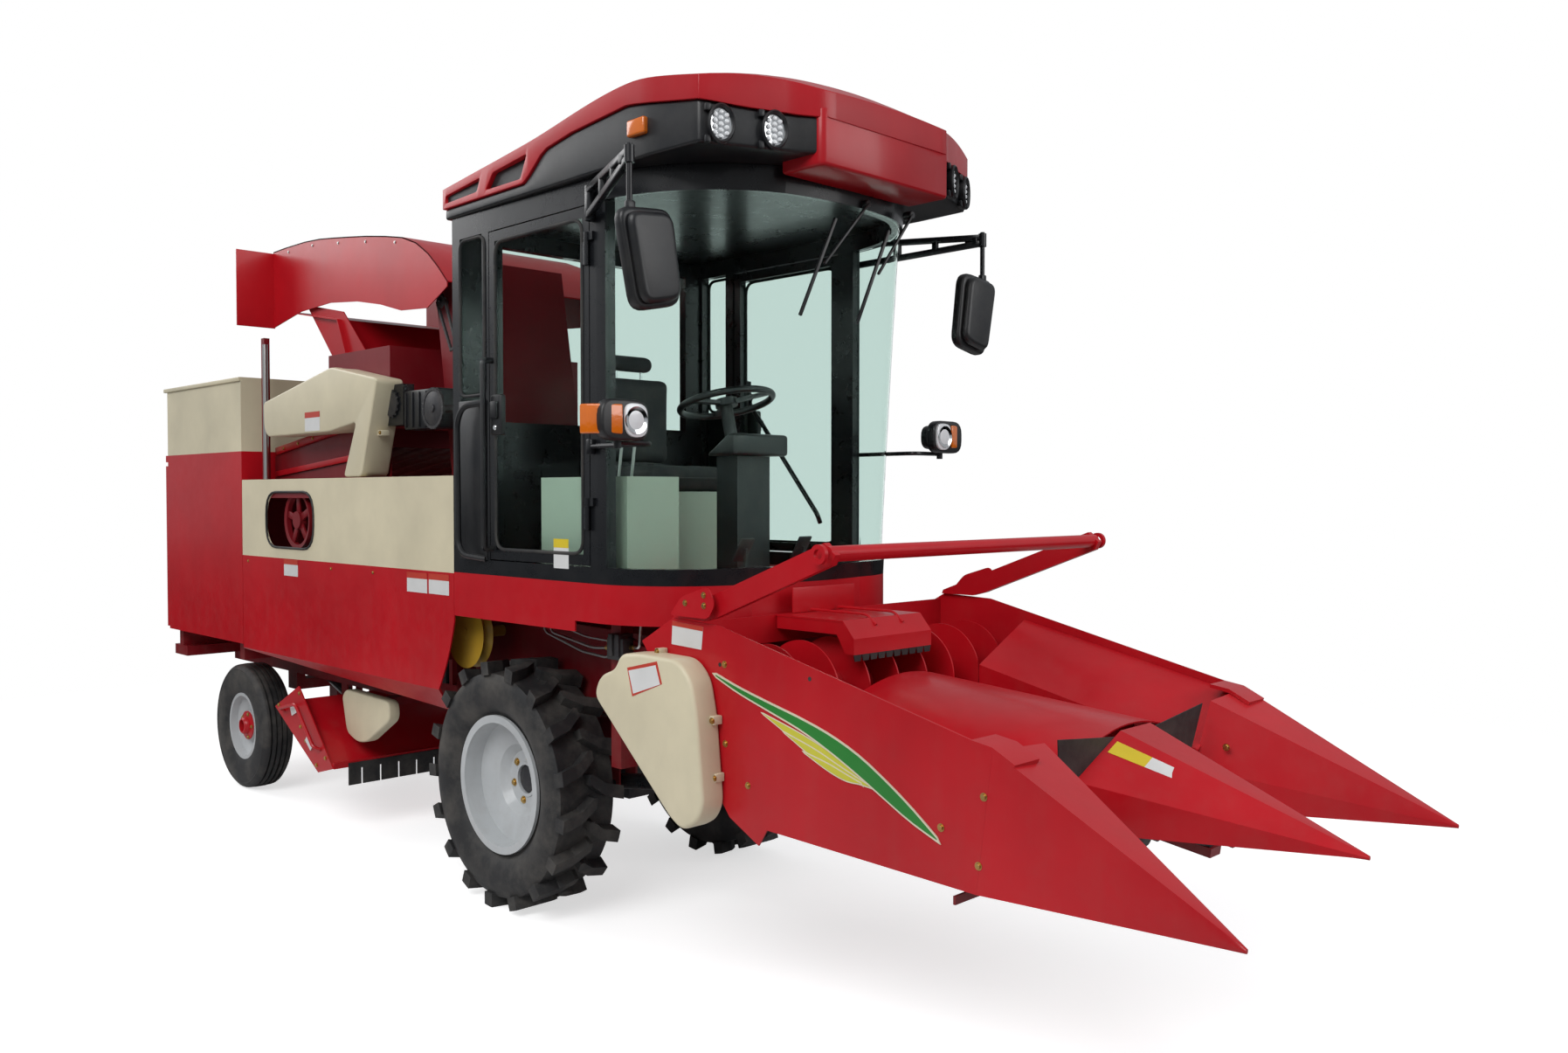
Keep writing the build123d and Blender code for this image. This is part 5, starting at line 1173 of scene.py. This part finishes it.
for side, hand in HANDS.items():
    path = [(0.25, BODY_SIDE, 2.062), (0.15, 0.745, 2.05), (0.106, 0.745, 1.99),
            (0.112, 0.745, 1.48), (0.15, 0.745, 1.44), (0.25, BODY_SIDE, 1.425)]
    piece(f"cab_grab_rail_{hand}", "machine", "black_plastic",
          [tube(on_side(side, path), 0.0125, 0.045)])
    piece(f"quarter_panel_{hand}", "machine", "black_plastic",
          [side_box(side, (0.05, 0.6985, 1.42), (0.262, 0.7035, 2.075), 0.002)])
    seal = at_y(oblong((0.062, 2.095), (0.25, 2.74)), side * BODY_SIDE)
    piece(f"quarter_gasket_{hand}", "machine", "rubber", [tube(seal, 0.007, 0.045, True)])

# ---- drives behind the cab
gearbox = [add_box((-0.602, -0.6, 1.985), (-0.3, -0.5, 2.165), 0.008)]
gearbox += [add_box((x, -0.606, 1.995), (x + 0.015, -0.598, 2.155), 0.002)
            for x in [-0.59 + 0.06 * step for step in range(5)]]
piece("gearbox_cover", "machine", "black_plastic", gearbox)
DRIVE_AT = (-0.3, -0.622, 2.07)
piece("side_chain_wheel", "machine", "iron",
      chain_line(around(DRIVE_AT, 0.085, 22), 0.024)
      + [sprocket(0.08, DRIVE_AT),
         add_rod((-0.3, -0.5, 2.07), (-0.3, -0.634, 2.07), 0.018, 20, 0.003)])
run = [(-0.6, 2.585), (-0.59, 2.615), (-0.56, 2.622), (-0.535, 2.6), (-0.43, 2.37),
       (-0.48, 2.36)]
piece("blower_chain", "machine", "iron",
      chain_line(at_y(run, -0.425), 0.024)
      + [sprocket(0.03, (-0.567, -0.425, 2.59), 24),
         add_rod((-0.567, -0.392, 2.59), (-0.567, -0.44, 2.59), 0.01, 16)])

# ---- floor
NEAR, FAR = 2.5, 7.0
floor = fresh(bpy.ops.mesh.primitive_plane_add, size=80, location=(0, 0, 0))
floor.name = "floor"
pale = bpy.data.materials.new("pale_floor")
pale.use_nodes = True
tree = pale.node_tree
tree.nodes.remove(tree.nodes["Principled BSDF"])
place = tree.nodes.new("ShaderNodeTexCoord").outputs["Object"]
away = tree.nodes.new("ShaderNodeVectorMath")
away.operation = "LENGTH"
tree.links.new(place, away.inputs[0])
far = ramp(tree, away.outputs["Value"], NEAR, FAR)
matt = tree.nodes.new("ShaderNodeBsdfDiffuse")
tree.links.new(mixed(tree, far, (0.74, 0.74, 0.74, 1), (0.0, 0.0, 0.0, 1)), matt.inputs["Color"])
glow = tree.nodes.new("ShaderNodeEmission")


def seen_directly(tree):
    """1 for what the camera sees, straight or through glass, and 0 for other rays."""
    rays = tree.nodes.new("ShaderNodeLightPath")
    return maths(tree, "MAXIMUM", rays.outputs["Is Camera Ray"],
                 rays.outputs["Is Transmission Ray"])


level = ramp(tree, away.outputs["Value"], NEAR, FAR, 0.62, 1.0)
tree.links.new(maths(tree, "MULTIPLY", level, seen_directly(tree)), glow.inputs["Strength"])
both = tree.nodes.new("ShaderNodeAddShader")
tree.links.new(matt.outputs[0], both.inputs[0])
tree.links.new(glow.outputs[0], both.inputs[1])
tree.links.new(both.outputs[0], tree.nodes["Material Output"].inputs["Surface"])
floor.data.materials.append(pale)

# ---- backdrop
world = bpy.data.worlds.new("studio")
scene.world = world
world.use_nodes = True
tree = world.node_tree
sky = tree.nodes["Background"]
sky.inputs["Color"].default_value = (0.93, 0.96, 1.0, 1)
sky.inputs["Strength"].default_value = 0.4
backdrop = tree.nodes.new("ShaderNodeBackground")
backdrop.inputs["Color"].default_value = (1, 1, 1, 1)
backdrop.inputs["Strength"].default_value = 1.0
blend = tree.nodes.new("ShaderNodeMixShader")
tree.links.new(seen_directly(tree), blend.inputs["Fac"])
tree.links.new(sky.outputs[0], blend.inputs[1])
tree.links.new(backdrop.outputs[0], blend.inputs[2])
tree.links.new(blend.outputs[0], tree.nodes["World Output"].inputs["Surface"])


# ---- lamps and camera
def softbox(name, place, aim, size, power):
    """Large soft lamp."""
    data = bpy.data.lights.new(name, "AREA")
    data.shape = "RECTANGLE"
    data.size, data.size_y = size
    data.energy = power
    lamp = bpy.data.objects.new(name, data)
    scene.collection.objects.link(lamp)
    lamp.location = place
    lamp.rotation_euler = (Vector(aim) - Vector(place)).to_track_quat("-Z", "Y").to_euler()


softbox("key", (3.5, -8.0, 8.0), (0, 0, 1.2), (7, 5), 640)
softbox("fill", (9.0, 3.0, 5.0), (1, 0, 1.0), (6, 4), 260)
softbox("rear", (-8.0, -3.0, 6.0), (-1, 0, 1.2), (5, 4), 200)

azimuth, pitch = math.radians(45.458), math.radians(-1.483)
lens_data = bpy.data.cameras.new("camera")
lens_data.sensor_width = 36.0
lens_data.lens = 28.4
lens_data.shift_x = 0.014
lens_data.clip_end = 200.0
camera = bpy.data.objects.new("camera", lens_data)
scene.collection.objects.link(camera)
camera.location = (4.643, -3.44, 1.688)
ahead = Vector((-math.sin(azimuth) * math.cos(pitch), math.cos(azimuth) * math.cos(pitch),
                math.sin(pitch)))
camera.rotation_euler = ahead.to_track_quat("-Z", "Y").to_euler()
scene.camera = camera
scene.view_settings.view_transform = "Standard"
